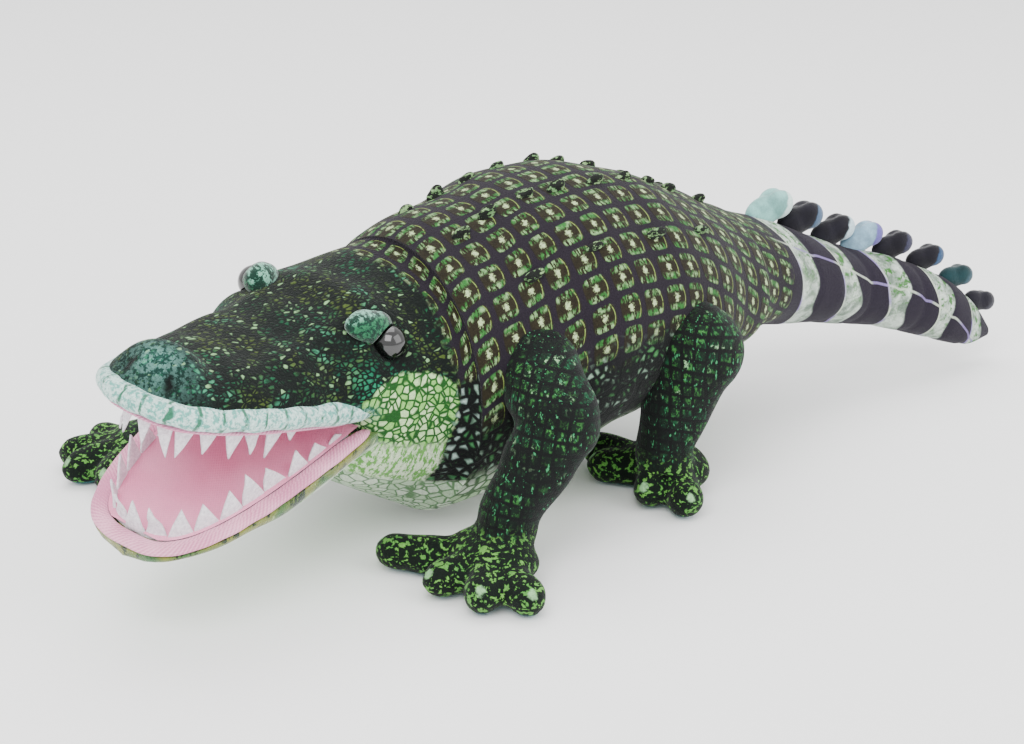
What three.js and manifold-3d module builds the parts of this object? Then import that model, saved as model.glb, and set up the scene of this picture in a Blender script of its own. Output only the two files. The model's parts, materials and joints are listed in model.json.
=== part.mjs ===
// A plush alligator hand puppet with a moving mouth, in millimetres, +Z up.
// The puppet faces -Y and its left side is +X. The origin is on the floor, under the middle of its bounding box.
// The body groups follow the joints: torso, neck, head, jaw, tail and four legs.
import * as THREE from "three";
import { mergeVertices } from "three/addons/utils/BufferGeometryUtils.js";
import Module from "manifold-3d";

const wasm = await Module();
wasm.setup();
const { degToRad } = THREE.MathUtils;

// ---------- driving dimensions ----------
const PLUSH = 3; // thickness of the printed plush with its backing
const LINING = 1.6; // thickness of the lining cloth
const GAP = 0.5; // space kept between neighbouring soft pieces
const FACET = 2.2; // further space where a faceted ball turns in its socket
const FELT = 2; // thickness of the felt teeth
const WELD = [0.02, 0.012, 0.006, 0.003]; // corners of a solid closer than this are made one

const SHIFT = new THREE.Vector3(26.6, -18.7, 0); // moves the spine's working frame under the bounding box

// Spine stations: y, middle x, half width, lowest z, highest z.
const TORSO = [
  [-150, -4, 60, 18, 142],
  [-97, -4, 72, 8, 158],
  [-50, -2, 80, 17, 170],
  [0, 0, 84, 29, 175],
  [50, 0, 78, 38, 163],
  [100, 0, 60, 46, 141],
  [140, 0, 46, 53, 124],
];
const TAIL = [
  [84, 0, 42, 48, 128],
  [135, 0, 45, 54, 124],
  [180, 4, 38, 48, 109],
  [216, 11, 31, 42, 93],
  [260, 25, 24, 30, 78],
  [300, 38, 15, 17, 57],
  [322, 43, 9, 12, 38],
  [334, 46, 3, 14, 22],
];

const NECK_PIVOT = new THREE.Vector3(-3, -96, 86);
const NECK_R = 52;
const NECK_RIM = 15; // from the pivot to the torso's and the head's rims
const TAIL_PIVOT = new THREE.Vector3(0, 135, 88);
const TAIL_R = 47;

const HINGE = new THREE.Vector3(0, -167, 93); // middle of the mouth's fold
const HEAD_TURN = degToRad(16);
const HEAD_LIFT = degToRad(11.8);
const HEAD_ROLL = degToRad(10.5);
const GAPE = degToRad(29.7);
const JAW_CLOSE = 15; // degrees that the jaw closes and opens from its rest
const JAW_OPEN = 10;

const MOUTH_W = 52; // half width of the mouth at its fold
const MOUTH_L = 137; // from the fold to the tip of the upper lip
const LIP_POWER = 0.62; // how square the muzzle is in plan
const LIP_TAPER = 0.13; // how much the muzzle narrows towards its tip
const FOLD = 8; // where the linings end, forward of the hinge
const TOOTH_H = 15;
const TOOTH_START = 14; // the teeth grow from here, by the slope per millimetre forward
const TOOTH_SLOPE = 0.24;
const TEETH = 19;
const EYE_R = 7.5;

// Muzzle and back of the head: forward distance, half width, lowest z, highest z.
const MUZZLE = [
  [-34, 42, -2, 50],
  [0, 38, 1, 50],
  [25, 37, 1, 42],
  [60, 34, 1, 31],
  [95, 28, 1, 24],
  [113, 19, 1, 21],
  [122, 9, 2, 16],
];
const BARREL = [
  [-60, 57, -58, 58],
  [-34, 60, -56, 59],
  [-12, 59, -46, 57],
  [4, 54, -28, 52],
  [14, 36, -8, 42],
];
const THROAT_SEAM = -13; // height of the seam between the head's print and the throat's

// Legs in the working frame: shoulder or hip, knee, ankle, palm, and each toe's direction (degrees from -Y) and reach.
const LEGS = {
  front_left: {
    root: [62, -70, 95],
    knee: [95, -82, 76],
    ankle: [89, -112, 34],
    palm: [90, -122, 14],
    toes: [[-60, 54], [-9, 32], [40, 36], [72, 42]],
  },
  front_right: {
    root: [-66, -74, 95],
    knee: [-104, -98, 72],
    ankle: [-140, -152, 34],
    palm: [-148, -170, 14],
    toes: [[-76, 36], [-46, 44], [-14, 42], [22, 38]],
  },
  rear_left: {
    root: [54, 40, 86],
    knee: [78, 30, 84],
    ankle: [74, 14, 34],
    palm: [63, 28, 14],
    toes: [[-84, 50], [-56, 36], [24, 30], [60, 42]],
  },
  rear_right: {
    root: [-54, 46, 86],
    knee: [-80, 38, 84],
    ankle: [-88, 24, 34],
    palm: [-94, 20, 14],
    toes: [[-62, 42], [-28, 38], [8, 38], [44, 42]],
  },
};
const ROOT_R = 24; // shoulder and hip
const KNEE_R = { front: 22, rear: 28 };
const ANKLE_R = 17;
const ANKLE_Z = 33; // where the leg is sewn to the foot
const PALM = [27, 20, 14]; // half sizes of the palm: across, along, up
const TOE_R = 10;
const SOLE_T = 2.5;
const SOLE_INSET = 4;
const LEG_SWING = 20; // degrees each way

const SLEEVE_W = 38; // half width and half height of the hand sleeve
const SLEEVE_H = 30;

const AROUND = 14;

// ---------- materials ----------
const cloth = (color, roughness = 0.9) => new THREE.MeshStandardMaterial({ color, roughness, metalness: 0 });
const BACK = cloth(0x2c3327);
const BELLY = cloth(0xa9c4a4);
const LEG = cloth(0x16241a);
const TAIL_CLOTH = cloth(0x3a3a48);
const FIN = cloth(0x23242e);
const SOLE = cloth(0x2b7f86);
const HEAD_CLOTH = cloth(0x21402c);
const CHEEK = cloth(0xa8e27c);
const LIP = cloth(0xb9dccb);
const JAW_CLOTH = cloth(0x51662a);
const PINK = cloth(0xe58fb0);
const TOOTH_FELT = cloth(0xeee9ee);
const LINING_CLOTH = cloth(0x1d1d20, 0.8);
const FILL = cloth(0xf4f4f0, 1);
const BOARD = cloth(0xe9e4d8, 0.6);
const EYE = new THREE.MeshStandardMaterial({ color: 0x060606, roughness: 0.08, metalness: 0 });
const WASHER = new THREE.MeshStandardMaterial({ color: 0xf1f1ef, roughness: 0.4, metalness: 0 });

// ---------- solids ----------
const place = (x, y, z) => new THREE.Matrix4().makeTranslation(x, y, z);

// A closed three.js geometry as a manifold solid with its faces pointing out.
function solid(geometry, matrix) {
  const g = geometry.clone();
  g.deleteAttribute("normal");
  g.deleteAttribute("uv");
  if (matrix) g.applyMatrix4(matrix);
  const merged = mergeVertices(g, 1e-4);
  const index = merged.index.array;
  const make = () =>
    new wasm.Manifold(
      new wasm.Mesh({
        numProp: 3,
        vertProperties: merged.attributes.position.array,
        triVerts: new Uint32Array(index),
      }),
    );
  const made = make();
  if (made.volume() > 0) return made;
  for (let i = 0; i < index.length; i += 3) [index[i + 1], index[i + 2]] = [index[i + 2], index[i + 1]];
  return make();
}

const box = (w, d, h, matrix) => solid(new THREE.BoxGeometry(w, d, h), matrix);
const ball = (r, p, around = AROUND, up = 11) => solid(new THREE.SphereGeometry(r, around, up), place(...p));
const ellipsoid = (p, halves, around, up, turn = 0) =>
  solid(
    new THREE.SphereGeometry(1, around, up),
    place(...p)
      .multiply(new THREE.Matrix4().makeRotationZ(turn))
      .multiply(new THREE.Matrix4().makeScale(...halves)),
  );
const moved = (shape, matrix) => shape.transform(matrix.elements);

function turned(shape, pivot, axis, degrees) {
  const m = place(...pivot)
    .multiply(new THREE.Matrix4().makeRotationAxis(axis, degToRad(degrees)))
    .multiply(place(-pivot.x, -pivot.y, -pivot.z));
  return moved(shape, m);
}

// Every place a solid reaches as it turns through the given angles.
const swept = (shape, pivot, axis, angles) =>
  angles.map((a) => turned(shape, pivot, axis, a)).reduce((all, s) => all.add(s));

// The triangles of a surface without those that have collapsed, and without pairs that lie back to back.
function openFaces(index) {
  const kept = new Map();
  for (let i = 0; i < index.length; i += 3) {
    const corners = [index[i], index[i + 1], index[i + 2]];
    if (new Set(corners).size < 3) continue;
    const key = [...corners].sort((p, q) => p - q).join();
    if (kept.has(key)) kept.delete(key);
    else kept.set(key, corners);
  }
  return [...kept.values()];
}

// True where each edge is run along once each way.
function isClosed(faces) {
  const edges = new Set(faces.flatMap(([a, b, c]) => [`${a},${b}`, `${b},${c}`, `${c},${a}`]));
  return edges.size === 3 * faces.length;
}

// Welds corners that nearly touch, at the widest reach that leaves the surface closed.
function welded(geometry) {
  for (const reach of WELD) {
    const merged = mergeVertices(geometry, reach);
    const faces = openFaces(merged.index.array);
    if (isClosed(faces)) return merged.setIndex(faces.flat());
  }
  return geometry;
}

// Only the largest body of a solid is kept, so that slivers left by a cut don't stay.
function piece(group, name, shape, material) {
  const main = shape.decompose().reduce((best, b) => (b.volume() > best.volume() ? b : best));
  const made = main.getMesh();
  const geometry = new THREE.BufferGeometry()
    .setAttribute("position", new THREE.BufferAttribute(new Float32Array(made.vertProperties), 3))
    .setIndex(new THREE.BufferAttribute(new Uint32Array(made.triVerts), 1));
  const mesh = new THREE.Mesh(welded(geometry), material);
  mesh.name = name;
  group.add(mesh);
}

// Smooth value of column c of a table of stations at t, where column 0 is t.
function at(table, t, c) {
  const last = table.length - 1;
  if (t <= table[0][0]) return table[0][c];
  if (t >= table[last][0]) return table[last][c];
  const i = table.findIndex((row, k) => k < last && t < table[k + 1][0]);
  const [p0, p1, p2, p3] = [table[Math.max(0, i - 1)], table[i], table[i + 1], table[Math.min(last, i + 2)]];
  const span = p2[0] - p1[0];
  const u = (t - p1[0]) / span;
  const m1 = ((p2[c] - p0[c]) / (p2[0] - p0[0])) * span;
  const m2 = ((p3[c] - p1[c]) / (p3[0] - p1[0])) * span;
  return (
    (2 * u ** 3 - 3 * u ** 2 + 1) * p1[c] +
    (u ** 3 - 2 * u ** 2 + u) * m1 +
    (3 * u ** 2 - 2 * u ** 3) * p2[c] +
    (u ** 3 - u ** 2) * m2
  );
}

// A closed tube. ring(t, a, r) places the point at share t of the length and angle a, with r 0 at a cap's middle.
function tube(around, steps, ring) {
  const g = new THREE.CylinderGeometry(1, 1, 1, around, steps);
  const p = g.attributes.position;
  for (let i = 0; i < p.count; i++) {
    const v = ring(0.5 - p.getY(i), Math.atan2(p.getX(i), p.getZ(i)), Math.hypot(p.getX(i), p.getZ(i)));
    p.setXYZ(i, v.x, v.y, v.z);
  }
  return solid(g);
}

// The torso or tail between two stations, drawn in by inset.
function spineBody(table, from, to, inset, around, steps) {
  return tube(around, steps, (t, a, r) => {
    const y = from + (to - from) * t;
    const half = Math.max(0.5, at(table, y, 2) - inset);
    const low = at(table, y, 3) + inset;
    const high = at(table, y, 4) - inset;
    const up = Math.max(0.5, (high - low) / 2);
    return new THREE.Vector3(
      at(table, y, 1) + r * half * Math.sin(a),
      y,
      (high + low) / 2 + r * up * Math.cos(a),
    );
  });
}

// A tube along a curve. radii(t) gives its half size along side and across it.
function sweep(curve, radii, around = 16, steps = 8, side = new THREE.Vector3(1, 0, 0)) {
  return tube(around, steps, (t, a, r) => {
    const p = curve.getPoint(t);
    const along = curve.getTangent(t);
    const across = side.clone().addScaledVector(along, -side.dot(along)).normalize();
    const up = new THREE.Vector3().crossVectors(across, along).normalize();
    const [w, h] = radii(t);
    return p.addScaledVector(across, r * w * Math.sin(a)).addScaledVector(up, r * h * Math.cos(a));
  });
}

const route = (points) => new THREE.CatmullRomCurve3(points.map((p) => new THREE.Vector3(...p)));

// ---------- groups ----------
const root = new THREE.Group();
root.position.copy(SHIFT);
const torso = new THREE.Group();
const neck = new THREE.Group();
const head = new THREE.Group();
const jaw = new THREE.Group();
const tail = new THREE.Group();
root.add(torso, neck, head, tail);
head.add(jaw);
head.position.copy(HINGE);
head.rotation.set(-HEAD_LIFT, HEAD_ROLL, HEAD_TURN, "ZXY");
jaw.rotation.set(GAPE, 0, 0);
const FROM_HEAD = new THREE.Matrix4().compose(head.position, head.quaternion, new THREE.Vector3(1, 1, 1));
const TO_HEAD = FROM_HEAD.clone().invert();
const FROM_JAW = new THREE.Matrix4().makeRotationX(GAPE);
const NECK_IN_HEAD = NECK_PIVOT.clone().applyMatrix4(TO_HEAD);
const ORIGIN = new THREE.Vector3();
const X_AXIS = new THREE.Vector3(1, 0, 0);
const Z_AXIS = new THREE.Vector3(0, 0, 1);

// ---------- mouth outline, shared by both jaws ----------
// Point of the outline at angle a (0 tip, a quarter turn at a corner), drawn in by inset.
function outlineAt(a, inset) {
  const length = MOUTH_L - inset;
  const forward = length * Math.cos(a) ** LIP_POWER;
  const half = (MOUTH_W - inset) * (1 - (LIP_TAPER * forward) / length);
  return new THREE.Vector3(half * Math.sin(a) ** LIP_POWER, -forward, 0);
}
const ARC_STEPS = 300;
const arc = [0];
for (let i = 1; i <= ARC_STEPS; i++) {
  const [p, q] = [i - 1, i].map((k) => outlineAt((k / ARC_STEPS) * (Math.PI / 2), 0));
  arc.push(arc[i - 1] + p.distanceTo(q));
}
// Point at share s of the way round (-1 right corner, 0 tip, 1 left corner), evenly spaced, at height z.
function rim(s, inset, z = 0) {
  const want = Math.abs(s) * arc[ARC_STEPS];
  const i = Math.max(1, arc.findIndex((length) => length >= want - 1e-9));
  const k = i - 1 + (want - arc[i - 1]) / (arc[i] - arc[i - 1]);
  const p = outlineAt(Math.min(Math.PI / 2, (k / ARC_STEPS) * (Math.PI / 2)), inset);
  return new THREE.Vector3(p.x * Math.sign(s), p.y, z);
}

// A flat plate of the mouth's outline between two heights, cut off at the fold.
function mouthPlate(inset, low, high, fold = FOLD, points = 16) {
  const outline = Array.from({ length: points + 1 }, (_, i) => {
    const p = rim(-1 + (2 * i) / points, inset);
    return new THREE.Vector2(p.x, Math.min(p.y, -fold));
  });
  const shape = new THREE.Shape(outline);
  return solid(new THREE.ExtrudeGeometry(shape, { depth: high - low, bevelEnabled: false }), place(0, 0, low));
}

// A roll along the outline, between its corners at plus and minus reach. height(v) is its middle's height
// and radii(v) its half height and half width, at v forward of the fold.
function rimRoll(inset, reach, height, radii, grow = 0, around = 6, steps = 18) {
  class Rim extends THREE.Curve {
    getPoint(s, target = new THREE.Vector3()) {
      const p = rim((2 * s - 1) * reach, inset);
      return target.set(p.x, p.y, height(-p.y));
    }
  }
  const curve = new Rim();
  return sweep(curve, (s) => radii(-curve.getPoint(s).y).map((r) => r + grow), around, steps, Z_AXIS);
}

// A felt strip with pointed teeth, standing up from z 0 along the outline.
function toothStrip(inset, reach, hem) {
  const points = TEETH * 2 + 1;
  const side = (offset) =>
    Array.from({ length: points }, (_, i) => {
      const p = rim((-1 + (2 * i) / (points - 1)) * reach, inset + offset);
      const peak = Math.min(TOOTH_H, Math.max(0.8, TOOTH_SLOPE * (-p.y - TOOTH_START)));
      return { p, high: i % 2 ? hem + peak : hem + 0.4 };
    });
  const outer = side(0);
  const inner = side(FELT);
  const corners = [];
  for (let i = 0; i < points; i++) {
    for (const s of [outer[i], inner[i]]) {
      corners.push(s.p.x, s.p.y, 0, s.p.x, s.p.y, s.high);
    }
  }
  const quads = [];
  const quad = (a, b, c, d) => quads.push(a, b, c, a, c, d);
  for (let i = 0; i < points - 1; i++) {
    const k = 4 * i;
    quad(k, k + 4, k + 5, k + 1);
    quad(k + 2, k + 3, k + 7, k + 6);
    quad(k + 1, k + 5, k + 7, k + 3);
    quad(k, k + 2, k + 6, k + 4);
  }
  const end = 4 * (points - 1);
  quad(0, 1, 3, 2);
  quad(end, end + 2, end + 3, end + 1);
  const g = new THREE.BufferGeometry();
  g.setAttribute("position", new THREE.BufferAttribute(new Float32Array(corners), 3));
  g.setIndex(quads);
  return solid(g);
}

const angles = (from, to, step) => {
  const count = Math.ceil((to - from) / step);
  return Array.from({ length: count + 1 }, (_, i) => from + ((to - from) * i) / count);
};

// ---------- jaw (its own frame: z up towards the palate, the hinge along x at the origin) ----------
const JAW_TOP = -3.5;
const HEEL_R = 15;

// The plush tray of the lower jaw, drawn in by inset. Its top is at the given height.
function jawBody(inset, top) {
  const outline = mouthPlate(1 + inset, -40, top, 0);
  const bulge = tube(16, 6, (t, a, r) => {
    const forward = 150 * t - 4;
    const depth = 6 + 16 * Math.max(0, 1 - (forward / 124) ** 2) - inset;
    const up = Math.cos(a);
    const z = up < 0 ? -depth * Math.abs(up) ** 0.8 : (top - JAW_TOP + 1) * up;
    return new THREE.Vector3(r * (60 - inset) * Math.sin(a), -forward, JAW_TOP + r * z);
  });
  const heel = solid(
    new THREE.CylinderGeometry(HEEL_R - inset, HEEL_R - inset, 2 * (MOUTH_W - 1 - inset), 16),
    new THREE.Matrix4().makeRotationZ(Math.PI / 2),
  ).intersect(box(200, 60, 60, place(0, -30 + 3, top - 30)));
  return outline.intersect(bulge).add(heel);
}

const jawOuter = jawBody(0, JAW_TOP);
const jawHollow = jawBody(PLUSH, 0);
piece(jaw, "jaw_skin", jawOuter.subtract(jawHollow), JAW_CLOTH);

const jawBindingHeight = (v) => -1.3 - Math.max(0, 24 - v) * 0.06;
const jawBinding = rimRoll(5, 0.9, jawBindingHeight, () => [1.7, 4.2]);
piece(jaw, "jaw_binding", jawBinding, PINK);
const lowerTeeth = moved(toothStrip(10.5, 0.88, 2), place(0, 0, -3.2));
piece(jaw, "lower_teeth", lowerTeeth, TOOTH_FELT);
piece(jaw, "jaw_lining", mouthPlate(13.4, -LINING, 0), PINK);
piece(jaw, "jaw_board", mouthPlate(13.4, -LINING - GAP - 2, -LINING - GAP), BOARD);

// A flat tube for the hand, along v, between two heights.
function handTube(half, high, from, to, z, grow = 0) {
  return tube(16, 4, (t, a, r) => {
    const taper = 1 - 0.12 * t;
    return new THREE.Vector3(
      r * (half + grow) * taper * Math.sin(a),
      -(from + (to - from) * t),
      z + r * (high + grow) * Math.cos(a),
    );
  });
}
const thumb = handTube(16, 5.4, 14, 68, -11.3);
const thumbHollow = handTube(16 - LINING, 5.4 - LINING, 10, 68 - LINING, -11.3);
piece(jaw, "thumb_pocket", thumb.subtract(thumbHollow), LINING_CLOTH);

// Everything of the jaw, in the head's frame, at every angle that it opens to.
const jawGrown = moved(jawOuter, new THREE.Matrix4().makeScale(1.025, 1.05, 1.08));
const jawFat = rimRoll(4, 0.94, jawBindingHeight, () => [1.7, 5.6], 0.4)
  .add(jawGrown)
  .add(moved(jawGrown, place(0, 0, 1)))
  .add(mouthPlate(4, JAW_TOP - 2, 0.4));
const jawReach = swept(moved(jawFat, FROM_JAW), ORIGIN, X_AXIS, angles(-JAW_CLOSE - 1, JAW_OPEN + 1, 7));

// ---------- head (its own frame: z up, the mouth's fold along x at the origin, the snout towards -y) ----------
// The muzzle or the back of the head, from a table of stations, drawn in by inset.
function headLoft(table, inset, flat, steps) {
  const [first, last] = [table[0][0], table[table.length - 1][0]];
  const end = box(300, 300, 300, place(0, 150 - last + inset, 0));
  const loft = tube(AROUND, steps, (t, a, r) => {
    const v = first + (last - first) * t;
    const half = Math.max(1, at(table, v, 1) - inset);
    const low = at(table, v, 2) + inset * (flat ? 0 : 1);
    const high = at(table, v, 3) - inset;
    const side = flat ? low + (high - low) * 0.3 : (low + high) / 2;
    const up = Math.cos(a);
    const z = up > 0 ? side + r * (high - side) * up ** 0.85 : side - r * (side - low) * Math.abs(up) ** (flat ? 0.4 : 0.9);
    return new THREE.Vector3(r * half * Math.sin(a), -v, z);
  });
  return loft.intersect(end);
}

const neckBall = ball(NECK_R + GAP, NECK_IN_HEAD, 14, 8);
const headBack = box(300, 300, 300, place(0, 150 + NECK_IN_HEAD.y - NECK_RIM, 0));
const headForm = (inset) => headLoft(MUZZLE, inset, true, 6).add(headLoft(BARREL, inset, false, 3));
const headSolid = (inset) => headForm(inset).subtract(headBack).subtract(neckBall);

const lipHeight = (v) => 5 + Math.max(0, 26 - v) * 0.1;
const lipRadii = (v) => (v < 60 ? [6.2, 6.2] : [5.4, 5.4]);
const lip = rimRoll(6.5, 0.93, lipHeight, lipRadii);
const mouthRoof = box(300, 300, 100, place(0, -150 - 4, -50 + 3.2));
const cutForMouth = jawReach.add(mouthRoof);
const headOuter = headSolid(0).subtract(cutForMouth);
const headInner = headForm(PLUSH);
const aboveSeam = box(300, 300, 200, place(0, 0, 100 + THROAT_SEAM));
const belowSeam = box(300, 300, 200, place(0, 0, -100 + THROAT_SEAM - GAP));

// Brows are stuffed hoods over the eyes, and the nose is a low stuffed mound.
const brow = (side, grow = 0) =>
  solid(
    new THREE.SphereGeometry(1, 12, 8),
    place(side * 33, -12, 44)
      .multiply(new THREE.Matrix4().makeRotationZ(side * -0.25))
      .multiply(new THREE.Matrix4().makeScale(9.5 + grow, 17 + grow, 10.5 + grow)),
  );
const eyePlace = (side) => new THREE.Vector3(side * 42, -3, 37);
// A round rod of the eye's stem, from near to far measured inwards from the eye's middle.
function stemRod(side, near, far, r) {
  const inwards = new THREE.Vector3(side * -0.8, 0.12, -0.58).normalize();
  const [from, to] = [near, far].map((d) => eyePlace(side).addScaledVector(inwards, d));
  return sweep(new THREE.LineCurve3(from, to), () => [r, r], 8, 1, Z_AXIS);
}
const STEM = 21; // length of the eye's stem from the eye's middle
const eye = (side, grow = 0) => ball(EYE_R + grow, eyePlace(side), 12, 9).add(stemRod(side, 0, STEM + grow, 2.5 + grow));
const washer = (side, grow = 0) => stemRod(side, STEM - 4 - grow, STEM - 2 + grow, 6 + grow);
const nose = (grow = 0) =>
  solid(
    new THREE.SphereGeometry(1, 14, 8),
    place(0, -116, 19).multiply(new THREE.Matrix4().makeScale(21 + grow, 15 + grow, 12 + grow)),
  );
const sides = [
  ["left", 1],
  ["right", -1],
];
const eyes = eye(1, GAP).add(eye(-1, GAP));
const headShell = headOuter.subtract(headInner).subtract(eyes);
piece(head, "head_skin", headShell.intersect(aboveSeam), HEAD_CLOTH);
piece(head, "throat_skin", headShell.intersect(belowSeam), BELLY);
const headClear = headSolid(-GAP);
for (const [name, side] of sides) {
  piece(head, `${name}_brow`, brow(side).subtract(headClear).subtract(eye(side, GAP)), LIP);
  piece(head, `${name}_eye`, eye(side), EYE);
  piece(head, `${name}_eye_washer`, washer(side).subtract(stemRod(side, 0, STEM + 2, 3)), WASHER);
}
piece(head, "nose_pad", nose().subtract(headClear), HEAD_CLOTH);
piece(head, "upper_lip", lip, LIP);
const upperBinding = rimRoll(9.5, 0.9, (v) => lipHeight(v) - 8, () => [1.1, 3]);
piece(head, "upper_binding", upperBinding, PINK);
const hangDown = place(0, 0, 1.5).multiply(new THREE.Matrix4().makeRotationY(Math.PI));
piece(head, "upper_teeth", moved(toothStrip(14.6, 0.88, 2), hangDown), TOOTH_FELT);
piece(head, "palate_lining", mouthPlate(17.2, -LINING, 0), PINK);
piece(head, "palate_board", mouthPlate(17.2, GAP, GAP + 2), BOARD);

const fingers = (grow) => handTube(34, 8.5, -18, 92, 12.5, grow).intersect(headSolid(PLUSH + GAP - grow));
const fingersHollow = handTube(34, 8.5, -22, 92 - LINING, 12.5, -LINING).intersect(headSolid(PLUSH + GAP + LINING));
piece(head, "finger_pocket", fingers(0).subtract(fingersHollow), LINING_CLOTH);
// The palm's room, between the neck and the two pockets.
const palmRoom = tube(12, 2, (t, a, r) => {
  const forward = -80 + 74 * t;
  return new THREE.Vector3(
    r * SLEEVE_W * Math.sin(a) + NECK_IN_HEAD.x * (1 - t),
    -forward,
    NECK_IN_HEAD.z * (1 - t) + 2 * t + r * (SLEEVE_H - 8 * t) * Math.cos(a),
  );
});
const headFilling = headSolid(PLUSH + 2 * GAP)
  .subtract(jawReach)
  .subtract(mouthRoof)
  .subtract(eyes)
  .subtract(fingers(GAP))
  .subtract(palmRoom)
  .subtract(washer(1, GAP).add(washer(-1, GAP)));
piece(head, "head_stuffing", headFilling, FILL);

// ---------- legs (working frame) ----------
const sum = (solids) => solids.reduce((all, s) => all.add(s));
// A straight round limb between two points, from one radius to the other.
const taper = (from, to, r1, r2, around = 8) => {
  const path = new THREE.LineCurve3(new THREE.Vector3(...from), new THREE.Vector3(...to));
  return sweep(path, (t) => [r1 + (r2 - r1) * t, r1 + (r2 - r1) * t], around, 1, new THREE.Vector3(0, 1, 0));
};
// A leg from its root to below the ankle, drawn in by inset.
function legSolid(leg, knee, inset, around = 8) {
  const below = [leg.ankle[0], leg.ankle[1], leg.ankle[2] - 14];
  return sum([
    ball(ROOT_R - inset, leg.root, around, around - 2),
    taper(leg.root, leg.knee, ROOT_R - inset, knee - inset, around),
    ball(knee - inset, leg.knee, around, around - 2),
    taper(leg.knee, leg.ankle, knee - inset, ANKLE_R - inset, around),
    taper(leg.ankle, below, ANKLE_R - inset, ANKLE_R - inset, around),
  ]);
}
const wrist = (leg, inset) => {
  const path = new THREE.LineCurve3(new THREE.Vector3(...leg.palm), new THREE.Vector3(...leg.ankle));
  return sweep(path, () => [ANKLE_R - inset, ANKLE_R - inset], 6, 1);
};
const palm = (leg, inset) => ellipsoid(leg.palm, PALM.map((h) => h - inset), 8, 5);
function toe(leg, [aim, reach]) {
  const turn = degToRad(aim);
  const half = (reach + TOE_R) / 2;
  const middle = [leg.palm[0] + half * Math.sin(turn), leg.palm[1] - half * Math.cos(turn), TOE_R];
  return ellipsoid(middle, [TOE_R, half, TOE_R], 6, 4, turn);
}
const toeTip = (leg, [aim, reach]) => [
  leg.palm[0] + reach * Math.sin(degToRad(aim)),
  leg.palm[1] - reach * Math.cos(degToRad(aim)),
];
const floorCut = box(600, 800, 100, place(0, 0, SOLE_T + GAP - 50));
const legs = {};
for (const [name, leg] of Object.entries(LEGS)) {
  const knee = KNEE_R[name.split("_")[0]];
  const above = box(600, 800, 200, place(0, 0, 100 + ANKLE_Z + GAP / 2));
  const below = box(600, 800, 200, place(0, 0, ANKLE_Z - GAP / 2 - 100));
  const outer = legSolid(leg, knee, 0).intersect(above);
  const legHollow = legSolid(leg, knee, PLUSH, 6);
  const footHollow = sum([wrist(leg, PLUSH), palm(leg, PLUSH), legHollow]);
  const inside = PLUSH + 4 * GAP;
  const filling = wrist(leg, inside)
    .add(palm(leg, inside))
    .intersect(moved(below, place(0, 0, -4)))
    .add(legSolid(leg, knee, inside, 6))
    .subtract(moved(floorCut, place(0, 0, GAP)));
  const footOuter = sum([palm(leg, 0), wrist(leg, 0), ...leg.toes.map((one) => toe(leg, one))]);
  const disc = (x, y, r, sx = 1, sy = 1) =>
    solid(
      new THREE.CylinderGeometry(r, r, SOLE_T, 7),
      place(x, y, SOLE_T / 2)
        .multiply(new THREE.Matrix4().makeScale(sx, sy, 1))
        .multiply(new THREE.Matrix4().makeRotationX(Math.PI / 2)),
    );
  const toePlate = (one) => {
    const [x, y] = toeTip(leg, one);
    const r = TOE_R - SOLE_INSET;
    const strip = box(
      2 * r,
      Math.hypot(x - leg.palm[0], y - leg.palm[1]),
      SOLE_T,
      place((x + leg.palm[0]) / 2, (y + leg.palm[1]) / 2, SOLE_T / 2)
        .multiply(new THREE.Matrix4().makeRotationZ(degToRad(one[0]))),
    );
    return strip.add(disc(x, y, r));
  };
  const sole = sum([disc(leg.palm[0], leg.palm[1], PALM[1] - 3, PALM[0] / PALM[1]), ...leg.toes.map(toePlate)]);
  legs[name] = { leg, outer, legHollow, footHollow, filling, footOuter, sole, below };
}

// The pocket in the torso for each leg: everything that its upper part reaches as it swings.
const legPockets = sum(
  Object.entries(LEGS).map(([name, leg]) => {
    const knee = KNEE_R[name.split("_")[0]] + FACET;
    const pivot = new THREE.Vector3(...leg.root);
    const upper = ball(knee, leg.knee, 8, 6).add(taper(leg.root, leg.knee, ROOT_R, knee));
    const shank = taper(leg.knee, leg.ankle, knee, ANKLE_R + FACET);
    const places = swept(upper.add(shank), pivot, Z_AXIS, [-LEG_SWING, 0, LEG_SWING]);
    return places.add(ball(ROOT_R + GAP + FACET, leg.root, 10, 6));
  }),
);

// ---------- torso ----------
const neckSocket = ball(NECK_R + GAP, NECK_PIVOT, 14, 8);
const front = box(400, 200, 400, place(0, NECK_PIVOT.y + NECK_RIM - 100, 80));
const tailSocket = solid(
  new THREE.CylinderGeometry(TAIL_R + 2 * GAP, TAIL_R + 2 * GAP, 300, 16),
  place(...TAIL_PIVOT).multiply(new THREE.Matrix4().makeRotationX(Math.PI / 2)),
);
const rear = box(400, 200, 400, place(0, TAIL_PIVOT.y - 14 + 100, 80));
const torsoCut = sum([neckSocket, front, tailSocket, rear, legPockets]);
const torsoBody = (inset) => spineBody(TORSO, -150, 140, inset, 16, 7);
const sleeveRoute = route([[0, 52, 0], [0, 46, 36], [0, 16, 70], [-1, -36, 84], [-3, -84, 84]]);
const sleeve = (grow) => sweep(sleeveRoute, () => [SLEEVE_W + grow, SLEEVE_H + grow], 12, 6);
const HEM = 4;

const torsoInner = torsoBody(PLUSH);
const torsoShell = torsoBody(0).subtract(torsoInner).subtract(torsoCut);
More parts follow.
